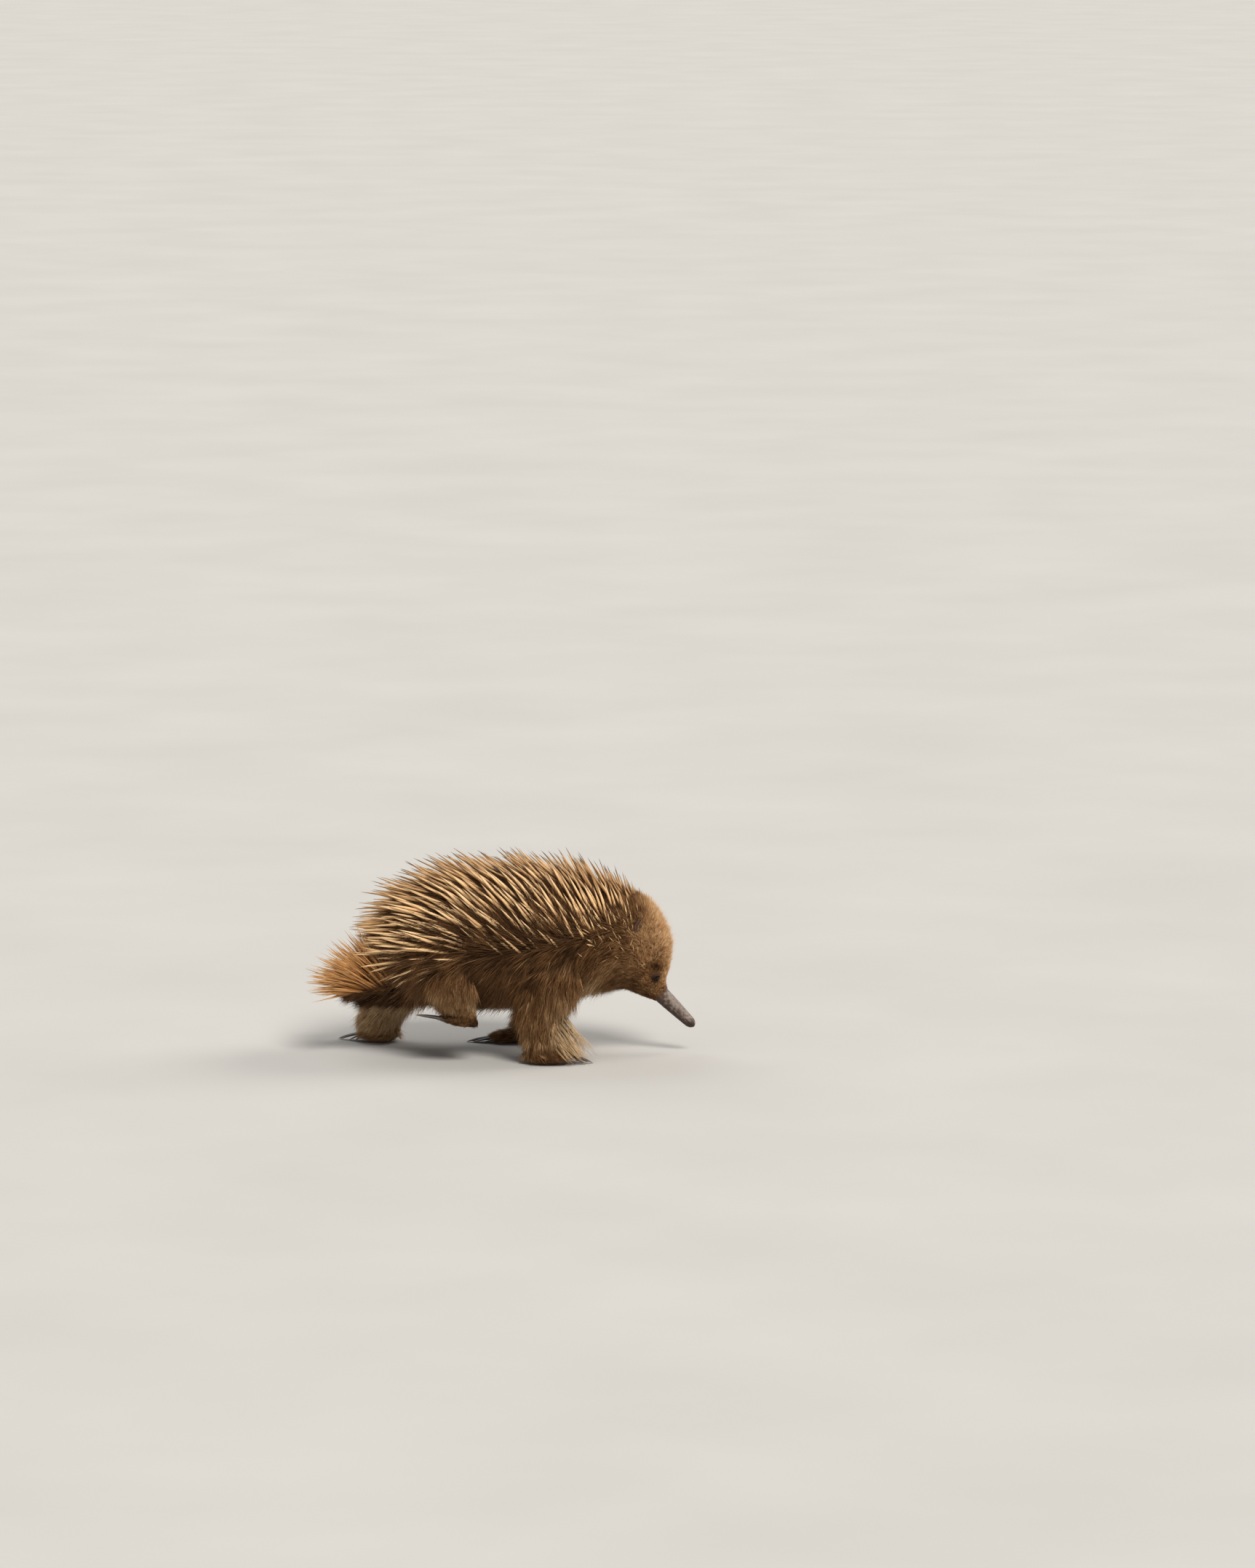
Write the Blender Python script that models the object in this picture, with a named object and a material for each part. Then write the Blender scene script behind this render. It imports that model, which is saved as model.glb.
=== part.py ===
"""A life-size short-beaked echidna, caught in mid stride with its head low.

Metres, +X towards the beak, +Z up, the floor at z 0 and the origin on the floor under the middle of the
animal. The body is one smooth shape from rump to beak, parted at the neck by thin cuts. Legs and tail grow
out of it, and each is cut away where the body or its own foot fills the space. Spines and locks of long hair
are fused to the piece that they grow from.
"""

import math
import random

import bmesh
import bpy
import numpy as np
from mathutils import Vector
from mathutils.bvhtree import BVHTree

# Clearances
GAP = 0.0003
CLEAR = 0.0009

# The body from rump to beak root: x, z, pitch in degrees (nose up is positive), half height, half width.
BODY = (
    (-0.1260, 0.1050, 24.0, 0.0480, 0.0560),
    (-0.0900, 0.1140, 13.0, 0.0590, 0.0670),
    (-0.0450, 0.1220, 3.0, 0.0680, 0.0790),
    (0.0000, 0.1240, 0.0, 0.0710, 0.0820),
    (0.0450, 0.1255, 0.0, 0.0695, 0.0770),
    (0.0800, 0.1275, -5.0, 0.0630, 0.0650),
    (0.1076, 0.1250, -15.0, 0.0595, 0.0530),
    (0.1321, 0.1162, -28.0, 0.0545, 0.0445),
    (0.1492, 0.1015, -41.0, 0.0430, 0.0355),
    (0.1580, 0.0822, -50.0, 0.0280, 0.0245),
    (0.1634, 0.0700, -46.0, 0.0160, 0.0150),
    (0.1709, 0.0613, -45.0, 0.0094, 0.0098),
)
RUMP_END, NECK_REAR, NECK_FRONT, BEAK_ROOT = 0.0, 5.25, 6.45, 11.0
RUMP_ROUNDING = 1.15
BODY_SIDES = 26

# The bare beak, a blunt cone a little flattened, with its nostrils and its short mouth at the tip
BEAK_LENGTH = 0.0475
BEAK_PITCH = math.radians(-44.5)
BEAK_ROOT_HALF = (0.0090, 0.0093)
BEAK_TIP_HALF = (0.0053, 0.0058)
BEAK_TAPER = 1.2
BEAK_ROUNDED_FROM = 0.84
BEAK_SECTIONS = (0.0, 0.12, 0.28, 0.46, 0.64, 0.8, 0.9, 0.96, 0.99)
BEAK_SIDES = 14
NOSTRIL_RADIUS = 0.0009
NOSTRIL_STRETCH = 1.7
NOSTRIL_BACK = 0.0042
NOSTRIL_APART = 0.0024
MOUTH_LENGTH = 0.0130
MOUTH_SLIT = 0.0005

# Eyes and ears, by station along the body and by angle from the crown
EYE_STATION, EYE_ANGLE, EYE_RADIUS = 9.18, math.radians(74.3), 0.0043
EYE_SUNK = 0.0016
LID_RADIUS = 0.0066
LID_RISE = 0.0011
EYE_BEHIND_LID = 0.0010
EAR_STATION, EAR_ANGLE = 6.98, math.radians(54.0)
EAR_HALF = (0.0095, 0.0038, 0.0046)
EAR_SLIT = (0.0072, 0.0014, 0.0060)

# Each limb from the body to its foot: x, y, z, half fore and aft, half across. The animal's right is -Y.
FORE_RIGHT = (
    (0.0490, -0.0440, 0.1120, 0.0390, 0.0290),
    (0.0460, -0.0590, 0.0850, 0.0370, 0.0265),
    (0.0410, -0.0660, 0.0560, 0.0295, 0.0230),
    (0.0425, -0.0690, 0.0330, 0.0235, 0.0200),
    (0.0470, -0.0695, 0.0150, 0.0205, 0.0175),
)
FORE_LEFT = (
    (0.0500, 0.0440, 0.1120, 0.0370, 0.0290),
    (0.0520, 0.0600, 0.0840, 0.0330, 0.0255),
    (0.0470, 0.0660, 0.0570, 0.0265, 0.0220),
    (0.0350, 0.0655, 0.0360, 0.0205, 0.0180),
    (0.0190, 0.0635, 0.0125, 0.0140, 0.0145),
)
HIND_RIGHT = (
    (-0.0560, -0.0420, 0.1180, 0.0330, 0.0300),
    (-0.0530, -0.0600, 0.0950, 0.0320, 0.0270),
    (-0.0490, -0.0680, 0.0720, 0.0270, 0.0220),
    (-0.0410, -0.0700, 0.0560, 0.0155, 0.0150),
    (-0.0360, -0.0700, 0.0440, 0.0105, 0.0115),
)
HIND_LEFT = (
    (-0.0860, 0.0420, 0.1120, 0.0360, 0.0290),
    (-0.1000, 0.0560, 0.0860, 0.0330, 0.0265),
    (-0.1170, 0.0620, 0.0580, 0.0285, 0.0235),
    (-0.1325, 0.0650, 0.0330, 0.0235, 0.0205),
    (-0.1385, 0.0665, 0.0140, 0.0205, 0.0180),
)
LIMB_SIDES = 16
LIMB_RINGS = 6
JOINT_STATION = 2.05

# Each foot: heel, height of its sole, heading and pitch of the toes in degrees, length, half width, height
FEET = {
    "forepaw_right": ((0.0240, -0.0690), 0.0, -4.0, 0.0, 0.0470, 0.0195, 0.0250),
    "forepaw_left": ((0.0300, 0.0625), 0.0, 183.0, 0.0, 0.0460, 0.0160, 0.0155),
    "hindpaw_right": ((-0.0260, -0.0700), 0.0370, 184.0, 11.0, 0.0450, 0.0125, 0.0130),
    "hindpaw_left": ((-0.1160, 0.0620), 0.0, 168.0, 0.0, 0.0430, 0.0180, 0.0220),
}
FOOT_SIDES = 14
FOOT_AXIS = 0.42
TOE_HEIGHT = 0.34
CLAW_FALL_LIFTED = 0.10

# Claws: sideways place as a share of the foot's half width, fan in degrees, length, half width, half depth
FORE_CLAWS = (
    (-0.78, 16.0, 0.0150, 0.0018, 0.0014),
    (-0.42, 8.0, 0.0235, 0.0025, 0.0017),
    (0.00, 1.0, 0.0270, 0.0027, 0.0018),
    (0.42, -6.0, 0.0245, 0.0025, 0.0017),
    (0.78, -14.0, 0.0160, 0.0018, 0.0014),
)
HIND_CLAWS = (
    (-0.76, 14.0, 0.0090, 0.0015, 0.0013),
    (-0.40, 7.0, 0.0290, 0.0021, 0.0017),
    (0.00, 0.0, 0.0230, 0.0020, 0.0016),
    (0.40, -8.0, 0.0150, 0.0017, 0.0014),
    (0.76, -16.0, 0.0110, 0.0015, 0.0013),
)
CLAW_SUNK = 0.0060
CLAW_SIDES = 6

# The tail stub: x, z, half height, half width
TAIL = (
    (-0.0950, 0.0800, 0.0240, 0.0300),
    (-0.1240, 0.0735, 0.0180, 0.0250),
    (-0.1470, 0.0695, 0.0145, 0.0200),
    (-0.1630, 0.0685, 0.0095, 0.0130),
)
TAIL_SIDES = 16
TAIL_ROUNDED_FROM, TAIL_END = 2.2, 3.0

# The tuft of finer spines over the tail: its rows, and how they fan up, down and sideways, in degrees
TUFT_ROWS = 6
TUFT_FIRST, TUFT_LAST = 0.95, 2.70
TUFT_ROW_SPINES = 11
TUFT_EDGE = math.radians(96.0)
TUFT_HIGH, TUFT_LOW = 58.0, 3.0
TUFT_SPREAD = 34.0
TUFT_LENGTH, TUFT_RADIUS = 0.0480, 0.0014

# Spines of the body by x: how far down the flank they grow, how much they stand up at the top, how much those
# of the flank slant up towards the back, how much the lowest droop, how long they show, and their radius.
MANTLE = (
    (-0.1260, 120.0, 18.0, 6.0, 30.0, 0.0350, 0.0018),
    (-0.0950, 114.0, 24.0, 16.0, 30.0, 0.0480, 0.0018),
    (-0.0500, 100.0, 31.0, 32.0, 18.0, 0.0500, 0.0018),
    (-0.0100, 92.0, 35.0, 42.0, 4.0, 0.0480, 0.0018),
    (0.0400, 86.0, 38.0, 48.0, 0.0, 0.0440, 0.0018),
    (0.0750, 80.0, 46.0, 54.0, 0.0, 0.0410, 0.0017),
    (0.1000, 74.0, 50.0, 54.0, 0.0, 0.0370, 0.0015),
    (0.1300, 56.0, 50.0, 50.0, 0.0, 0.0250, 0.0012),
    (0.1500, 44.0, 44.0, 44.0, 0.0, 0.0170, 0.0010),
)
SPINE_SPACING, NECK_SPACING, CROWN_SPACING = 0.0161, 0.0168, 0.0190
CROWN_END = 7.5
SPINE_FLANK_LIFT = 18.0
RUMP_LIE = (-1.0, 0.0, 0.12)
SPINE_SUNK = 0.0050
SPINE_TRIES, SPINE_RAISE = 6, 0.16
SPINE_BELLY = 0.22
SPINE_SIDES = 3

# Locks of long hair: length, width, thickness and how much they stand off the skin, in degrees
LEG_LOCK = (0.0270, 0.0145, 0.0022, 13.0)
SKIRT_LOCK = (0.0320, 0.0160, 0.0024, 12.0)
TAIL_LOCK = (0.0240, 0.0120, 0.0022, 14.0)
UPPER_LOCK_ROWS, LOWER_LOCK_ROWS = (0.55, 1.15, 1.75), (2.35, 3.1)
LOCK_SUNK = 0.0080
LOCK_TRIES, LOCK_RAISE = 3, math.radians(8.0)
LOCK_DROOP = 0.10
SKIRT_ANGLES = (98.0, 116.0)
SKIRT_FIRST, SKIRT_LAST, SKIRT_COUNT = 0.9, 4.9, 9
TAIL_LOCK_STATIONS, TAIL_LOCK_ANGLES = (1.3, 2.0, 2.6), (105.0, 143.0, 180.0, 217.0, 255.0)

SEED = 11

MATERIALS = {
    "mantle": ((0.20, 0.13, 0.08), 0.75),
    "fur": ((0.24, 0.16, 0.10), 0.85),
    "face": ((0.36, 0.26, 0.16), 0.85),
    "tuft": ((0.52, 0.33, 0.16), 0.60),
    "beak_skin": ((0.23, 0.19, 0.17), 0.55),
    "ear_skin": ((0.20, 0.14, 0.11), 0.70),
    "paw": ((0.17, 0.12, 0.09), 0.70),
    "eye": ((0.01, 0.01, 0.01), 0.08),
}


def clear_scene():
    for thing in list(bpy.data.objects):
        bpy.data.objects.remove(thing, do_unlink=True)


def material(name):
    """The named material, made on first use."""
    found = bpy.data.materials.get(name)
    if found:
        return found
    colour, roughness = MATERIALS[name]
    made = bpy.data.materials.new(name)
    made.use_nodes = True
    shader = made.node_tree.nodes["Principled BSDF"]
    shader.inputs["Base Color"].default_value = (*colour, 1.0)
    shader.inputs["Roughness"].default_value = roughness
    shader.inputs["Metallic"].default_value = 0.0
    made.diffuse_color = (*colour, 1.0)
    return made


def smooth(rows, t):
    """The row of sizes at station t, on a cubic curve through the listed rows."""
    rows = np.asarray(rows, float)
    last = len(rows) - 1
    t = min(max(t, 0.0), float(last))
    i = min(int(t), last - 1)
    u = t - i
    here, there = rows[i], rows[i + 1]
    leave = (there - rows[i - 1]) / 2 if i > 0 else there - here
    arrive = (rows[i + 2] - here) / 2 if i + 2 <= last else there - here
    cubic = (2 * u**3 - 3 * u**2 + 1) * here + (u**3 - 2 * u**2 + u) * leave
    return cubic + (3 * u**2 - 2 * u**3) * there + (u**3 - u**2) * arrive


def along(rows, x):
    """The listed row's other values at place x, straight between rows."""
    rows = np.asarray(rows, float)
    return [float(np.interp(x, rows[:, 0], rows[:, k])) for k in range(1, rows.shape[1])]


def ease(u):
    u = min(max(u, 0.0), 1.0)
    return u * u * (3 - 2 * u)


def spaced(first, last, count):
    return [float(v) for v in np.linspace(first, last, count)]


def new_object(name, bm, finish):
    bmesh.ops.recalc_face_normals(bm, faces=bm.faces)
    mesh = bpy.data.meshes.new(name)
    bm.to_mesh(mesh)
    bm.free()
    made = bpy.data.objects.new(name, mesh)
    bpy.context.scene.collection.objects.link(made)
    made.data.materials.append(material(finish))
    return made


def skin_over(name, rings, finish):
    """A closed skin over a row of rings. A ring of one point is a pole, and another end ring a flat face."""
    bm = bmesh.new()
    loops = [[bm.verts.new(p) for p in ring] for ring in rings]
    for first, second in zip(loops, loops[1:]):
        count = max(len(first), len(second))
        for k in range(count):
            after = (k + 1) % count
            if len(first) == 1:
                bm.faces.new((first[0], second[k], second[after]))
            elif len(second) == 1:
                bm.faces.new((first[k], second[0], first[after]))
            else:
                bm.faces.new((first[k], second[k], second[after], first[after]))
    for loop in (loops[0], loops[-1]):
        if len(loop) > 1:
            bm.faces.new(loop)
    return new_object(name, bm, finish)


def body_point(t, angle, grow=0.0, shift=0.0):
    """A point of the body's skin. The angle is from the top, positive on the animal's left."""
    x, z, pitch, half_high, half_wide = smooth(BODY, t)
    pitch = math.radians(pitch)
    share = min(t / RUMP_ROUNDING, 1.0)
    rounding = math.sqrt(1.0 - (1.0 - share) ** 2)
    forward = Vector((math.cos(pitch), 0.0, math.sin(pitch)))
    up = Vector((-math.sin(pitch), 0.0, math.cos(pitch)))
    centre = Vector((x, 0.0, z)) + forward * shift
    centre -= forward * grow * (1.0 - share)
    high = half_high * rounding + grow
    wide = half_wide * rounding + grow
    return centre + up * high * math.cos(angle) + Vector((0.0, wide * math.sin(angle), 0.0))


def body_ring(t, grow=0.0, shift=0.0):
    if t == RUMP_END:
        return [body_point(t, 0.0, 0.0, shift - grow)]
    angles = [2 * math.pi * k / BODY_SIDES for k in range(BODY_SIDES)]
    return [body_point(t, a, grow, shift) for a in angles]


def body_frame(t, angle):
    """Point, outward normal and lie of the coat on the body's skin. Over the rump the coat lies level."""
    step = 0.02
    here = body_point(t, angle)
    back = (body_point(max(t - step, 0.01), angle) - body_point(t + step, angle)).normalized()
    around = (body_point(t, angle + step) - body_point(t, angle - step)).normalized()
    normal = around.cross(back).normalized()
    x, z = smooth(BODY, t)[:2]
    if normal.dot(here - Vector((x, 0.0, z))) < 0:
        normal = -normal
    share = min(t / RUMP_ROUNDING, 1.0)
    return here, normal, (back * share + Vector(RUMP_LIE) * (1.0 - share)).normalized()


def torso_stations():
    return [RUMP_END, 0.03, 0.11, 0.24, 0.42, 0.64, 0.9] + spaced(1.2, NECK_REAR, 12)


def limb_frames(rows, count, first=0.0, last=None):
    """Centre, fore axis, side axis and half sizes at evenly spaced stations of a limb."""
    last = len(rows) - 1 if last is None else last
    frames = []
    for t in spaced(first, last, count):
        centre = Vector(smooth(rows, t)[:3])
        ahead = Vector(smooth(rows, t + 0.05)[:3]) - Vector(smooth(rows, t - 0.05)[:3])
        down = ahead.normalized()
        fore = Vector((1.0, 0.0, 0.0))
        fore = (fore - down * fore.dot(down)).normalized()
        frames.append((centre, down, fore, down.cross(fore), *smooth(rows, t)[3:]))
    return frames


def limb_rings(rows, count, first=0.0, last=None, shift=0.0, grow=0.0):
    rings = []
    for centre, down, fore, side, half_fore, half_side in limb_frames(rows, count, first, last):
        ring = []
        for k in range(LIMB_SIDES):
            angle = 2 * math.pi * k / LIMB_SIDES
            out = fore * (half_fore + grow) * math.cos(angle) + side * (half_side + grow) * math.sin(angle)
            ring.append(centre + down * shift + out)
        rings.append(ring)
    return rings


def foot_axes(size):
    """Heel, forward, side and up directions of a foot."""
    heel, lift, heading, pitch = size[:4]
    heading, pitch = math.radians(heading), math.radians(pitch)
    level = Vector((math.cos(heading), math.sin(heading), 0.0))
    ahead = level * math.cos(pitch) + Vector((0.0, 0.0, math.sin(pitch)))
    side = Vector((-math.sin(heading), math.cos(heading), 0.0))
    return Vector((*heel, lift)), ahead, side, ahead.cross(side)


def foot_rings(size, grow=0.0):
    """A low rounded foot from heel to toes, flat under the sole."""
    start, ahead, side, up = foot_axes(size)
    length, half_wide, height = size[4:]
    rings = [[start - ahead * grow + up * height * 0.5]]
    for share in (0.04, 0.14, 0.3, 0.5, 0.7, 0.86, 0.96):
        bulge = math.sqrt(1 - (2 * share - 1) ** 2) ** 0.75
        low = height * (0.58 - 0.16 * share) * bulge
        ring = []
        for k in range(FOOT_SIDES):
            angle = 2 * math.pi * k / FOOT_SIDES
            rise = max(height * FOOT_AXIS + (low + grow) * math.sin(angle), -grow)
            out = side * (half_wide * bulge + grow) * math.cos(angle)
            ring.append(start + ahead * length * share + out + up * rise)
        rings.append(ring)
    rings.append([start + ahead * (length + grow) + up * height * 0.38])
    return rings


def spine_object(root, direction, length, radius, finish):
    """A tapered spine: a thin sunk root, its widest ring a little way up, and a sharp tip."""
    across = direction.orthogonal().normalized()
    other = direction.cross(across)
    rings = []
    for place, scale in ((-SPINE_SUNK, 0.62), (length * SPINE_BELLY, 1.0)):
        turns = [2 * math.pi * k / SPINE_SIDES for k in range(SPINE_SIDES)]
        outs = [(across * math.cos(a) + other * math.sin(a)) * radius * scale for a in turns]
        rings.append([root + direction * place + out for out in outs])
    rings.append([root + direction * length])
    return skin_over("spine", rings, finish)


def lock_axes(direction, normal):
    side = direction.cross(normal).normalized()
    return side, side.cross(direction).normalized()


def lock_object(root, direction, normal, sizes, droop, finish):
    """A flat, tapered lock of hair that leaves the skin and droops along its length."""
    length, width, thick = sizes
    side, face = lock_axes(direction, normal)
    whole = length + LOCK_SUNK
    rings = []
    for u, scale in ((0.0, 0.75), (0.42, 1.0), (0.78, 0.72)):
        centre = root + direction * (whole * u - LOCK_SUNK) + droop * length * u * u
        wide = side * width * 0.5 * scale
        deep = face * thick * 0.5 * scale
        rings.append([centre + v for v in (wide, deep, -wide, -deep)])
    rings.append([root + direction * length + droop * length])
    return skin_over("lock", rings, finish)


def claw_object(root, direction, length, half_wide, half_deep, fall, floor):
    """A long claw, broad and flat at the root, that curves down to a blunt tip."""
    side = direction.cross(Vector((0, 0, 1))).normalized()
    up = side.cross(direction).normalized()
    rings = []
    for u, scale in ((0.0, 0.9), (0.35, 1.0), (0.7, 0.78), (0.94, 0.36)):
        centre = root + direction * length * u - Vector((0, 0, fall * u * u))
        ring = []
        for k in range(CLAW_SIDES):
            angle = 2 * math.pi * k / CLAW_SIDES
            out = side * half_wide * math.cos(angle) + up * half_deep * math.sin(angle)
            point = centre + out * scale
            point.z = max(point.z, floor)
            ring.append(point)
        rings.append(ring)
    tip = root + direction * length - Vector((0, 0, fall))
    tip.z = max(tip.z, floor + 0.0002)
    rings.append([tip])
    return skin_over("claw", rings, "paw")


def keep_largest(thing):
    """Drops everything but the largest closed surface of a node."""
    bm = bmesh.new()
    bm.from_mesh(thing.data)
    left = set(bm.faces)
    shells = []
    while left:
        queue = [left.pop()]
        shell = list(queue)
        while queue:
            for edge in queue.pop().edges:
                for face in edge.link_faces:
                    if face in left:
                        left.remove(face)
                        queue.append(face)
                        shell.append(face)
        shells.append(shell)
    shells.sort(key=lambda faces: sum(f.calc_area() for f in faces))
    for shell in shells[:-1]:
        bmesh.ops.delete(bm, geom=shell, context="FACES")
    loose = [v for v in bm.verts if not v.link_faces]
    bmesh.ops.delete(bm, geom=loose, context="VERTS")
    bmesh.ops.triangulate(bm, faces=bm.faces)
    bm.to_mesh(thing.data)
    bm.free()


def boolean(thing, others, operation, solver="EXACT"):
    """Joins the other meshes to a node, or cuts them from it, with one applied Boolean."""
    if not others:
        return
    group = bpy.data.collections.new("operands")
    for other in others:
        group.objects.link(other)
    modifier = thing.modifiers.new("boolean", "BOOLEAN")
    modifier.operand_type = "COLLECTION"
    modifier.collection = group
    modifier.operation = operation
    modifier.solver = solver
    bpy.context.view_layer.update()
    graph = bpy.context.evaluated_depsgraph_get()
    result = bpy.data.meshes.new_from_object(thing.evaluated_get(graph))
    thing.modifiers.clear()
    thing.data = result
    for other in others:
        bpy.data.objects.remove(other, do_unlink=True)
    bpy.data.collections.remove(group)
    keep_largest(thing)


def surroundings(node):
    """A search tree over the surfaces of every other node."""
    points, faces = [], []
    for thing in bpy.context.scene.collection.objects:
        if thing is node:
            continue
        start = len(points)
        points += [v.co.copy() for v in thing.data.vertices]
        faces += [[start + v for v in p.vertices] for p in thing.data.polygons]
    return BVHTree.FromPolygons(points, faces)


def is_clear(tree, points, room):
    """Whether every point keeps its distance from the other nodes and stays above the floor."""
    return all(p.z > room and tree.find_nearest(p, room)[0] is None for p in points)


def body_part(name, stations, finish, shift=0.0):
    """A length of the body. The shift moves only its first ring, to leave the gap to the length behind it."""
    rings = [body_ring(t) for t in stations]
    if shift:
        rings[0] = body_ring(stations[0], 0.0, shift)
    return skin_over(name, rings, finish)


def body_cutter():
    """The whole body grown by the gap, to cut legs and tail clear of it."""
    stations = torso_stations() + spaced(NECK_REAR + 0.2, 8.0, 8)
    return skin_over("cutter", [body_ring(t, GAP) for t in stations], "fur")


def ellipsoid(name, centre, axes, halves, finish, rings=8, sides=14):
    """An ellipsoid on three given axes."""
    rows = [[centre + axes[0] * halves[0]]]
    for k in range(1, rings):
        polar = math.pi * k / rings
        row = []
        for j in range(sides):
            turn = 2 * math.pi * j / sides
            across = axes[1] * halves[1] * math.cos(turn) + axes[2] * halves[2] * math.sin(turn)
            row.append(centre + axes[0] * halves[0] * math.cos(polar) + across * math.sin(polar))
        rows.append(row)
    rows.append([centre - axes[0] * halves[0]])
    return skin_over(name, rows, finish)


def make_beak():
    """The beak, with two nostrils on top of its tip and a slit mouth low at the front."""
    x, z = smooth(BODY, BEAK_ROOT)[:2]
    ahead = Vector((math.cos(BEAK_PITCH), 0.0, math.sin(BEAK_PITCH)))
    up = Vector((-ahead.z, 0.0, ahead.x))
    side = Vector((0.0, 1.0, 0.0))
    root = Vector((x, 0.0, z)) + ahead * GAP
    rings = []
    for share in BEAK_SECTIONS:
        taper = share**BEAK_TAPER
        over = max((share - BEAK_ROUNDED_FROM) / (1 - BEAK_ROUNDED_FROM), 0.0)
        rounding = math.sqrt(1 - over**2)
        high = (BEAK_ROOT_HALF[0] + (BEAK_TIP_HALF[0] - BEAK_ROOT_HALF[0]) * taper) * rounding
        wide = (BEAK_ROOT_HALF[1] + (BEAK_TIP_HALF[1] - BEAK_ROOT_HALF[1]) * taper) * rounding
        centre = root + ahead * BEAK_LENGTH * share
        angles = [2 * math.pi * k / BEAK_SIDES for k in range(BEAK_SIDES)]
        rings.append([centre + up * high * math.cos(a) + side * wide * math.sin(a) for a in angles])
    tip = root + ahead * BEAK_LENGTH
    rings.append([tip])
    beak = skin_over("beak", rings, "beak_skin")
    axes = (ahead, up, side)
    cutters = []
    for sign in (-1, 1):
        nostril = tip - ahead * NOSTRIL_BACK + up * BEAK_TIP_HALF[0] * 0.86 + side * sign * NOSTRIL_APART
        halves = (NOSTRIL_RADIUS * NOSTRIL_STRETCH, NOSTRIL_RADIUS, NOSTRIL_RADIUS)
        cutters.append(ellipsoid("nostril", nostril, axes, halves, "beak_skin", 6, 8))
        corner = tip - ahead * MOUTH_LENGTH * 0.5 - up * BEAK_TIP_HALF[0] * 0.25
        corner += side * sign * BEAK_TIP_HALF[1] * 1.02
        halves = (MOUTH_LENGTH * 0.55, MOUTH_SLIT, BEAK_TIP_HALF[1] * 0.24)
        cutters.append(ellipsoid("mouth", corner, axes, halves, "beak_skin", 8, 6))
    boolean(beak, cutters, "DIFFERENCE")


def eye_axes(sign):
    """Centre of the eyeball, and the outward, backward and sideways directions there."""
    skin, normal, back = body_frame(EYE_STATION, sign * EYE_ANGLE)
    return skin - normal * EYE_SUNK, (normal, back, normal.cross(back).normalized())


def make_head():
    """The head, with a raised lid round each eye and the socket that the eye sits in."""
    stations = [NECK_FRONT] + spaced(NECK_FRONT + 0.35, BEAK_ROOT, 14)
    head = body_part("head", stations, "face", GAP)
    lids, sockets = [], []
    for sign in (-1, 1):
        centre, axes = eye_axes(sign)
        halves = (EYE_SUNK + LID_RISE, LID_RADIUS, LID_RADIUS * 0.82)
        lids.append(ellipsoid("lid", centre, axes, halves, "face", 8, 14))
        inner = centre - axes[0] * EYE_BEHIND_LID
        sockets.append(ellipsoid("socket", inner, axes, (EYE_RADIUS + GAP,) * 3, "face", 8, 12))
    boolean(head, lids, "UNION")
    boolean(head, sockets, "DIFFERENCE")
    return head


def make_eye(name, sign):
    centre, axes = eye_axes(sign)
    inner = centre - axes[0] * EYE_BEHIND_LID
    ellipsoid(name, inner, axes, (EYE_RADIUS,) * 3, "eye", 8, 12)


def make_ear(name, sign):
    """The low fleshy rim of the ear, open along a slit, on the side of the head."""
    skin, normal, back = body_frame(EAR_STATION, sign * EAR_ANGLE)
    across = normal.cross(back).normalized()
    axes = (across, back, normal)
    ear = ellipsoid(name, skin, axes, EAR_HALF, "ear_skin", 8, 12)
    slit = ellipsoid("slit", skin + normal * EAR_HALF[2], axes, EAR_SLIT, "ear_skin", 8, 10)
    under = skin_over("under", [body_ring(t, GAP) for t in spaced(NECK_FRONT - 1.0, 9.0, 20)], "face")
    boolean(ear, [slit], "DIFFERENCE")
    boolean(ear, [under], "DIFFERENCE")


def make_foot(name):
    """A foot with its five claws. Those of a foot that stands reach down to the floor."""
    size = FEET[name]
    foot = skin_over(name, foot_rings(size), "paw")
    start, ahead, side, up = foot_axes(size)
    length, half_wide, height = size[4:]
    stands = start.z == 0.0
    fore = name.startswith("fore")
    hand = (-1.0 if name.endswith("right") else 1.0) * (-1.0 if fore else 1.0)
    claws = []
    for place, fan, reach, wide, deep in FORE_CLAWS if fore else HIND_CLAWS:
        turn = math.radians(fan * hand)
        direction = ahead * math.cos(turn) + side * math.sin(turn)
        toe = start + ahead * (length * (0.97 - 0.16 * abs(place)) - CLAW_SUNK)
        toe += side * half_wide * place * hand + up * height * TOE_HEIGHT
        fall = height * TOE_HEIGHT - deep * 0.36 if stands else height * CLAW_FALL_LIFTED
        floor = 0.0 if stands else start.z
        claws.append(claw_object(toe, direction, reach + CLAW_SUNK, wide, deep, fall, floor))
    boolean(foot, claws, "UNION")


def make_limb(names, rows, foot):
    """Upper and lower length of a limb, parted at the knee or elbow, cut clear of body and foot."""
    upper = skin_over(names[0], limb_rings(rows, LIMB_RINGS, 0.0, JOINT_STATION), "fur")
    lower_rings = limb_rings(rows, LIMB_RINGS, JOINT_STATION)
    lower_rings[0] = limb_rings(rows, 2, JOINT_STATION, JOINT_STATION + 0.1, GAP)[0]
    lower = skin_over(names[1], lower_rings, "fur")
    boolean(upper, [body_cutter()], "DIFFERENCE")
    boolean(lower, [body_cutter()], "DIFFERENCE")
    boolean(lower, [skin_over("cutter", foot_rings(FEET[foot], GAP), "paw")], "DIFFERENCE")
    return upper, lower


def tail_point(t, angle, shrink=1.0):
    x, z, high, wide = smooth(TAIL, t)
    return Vector((x, wide * shrink * math.sin(angle), z + high * shrink * math.cos(angle)))


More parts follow.
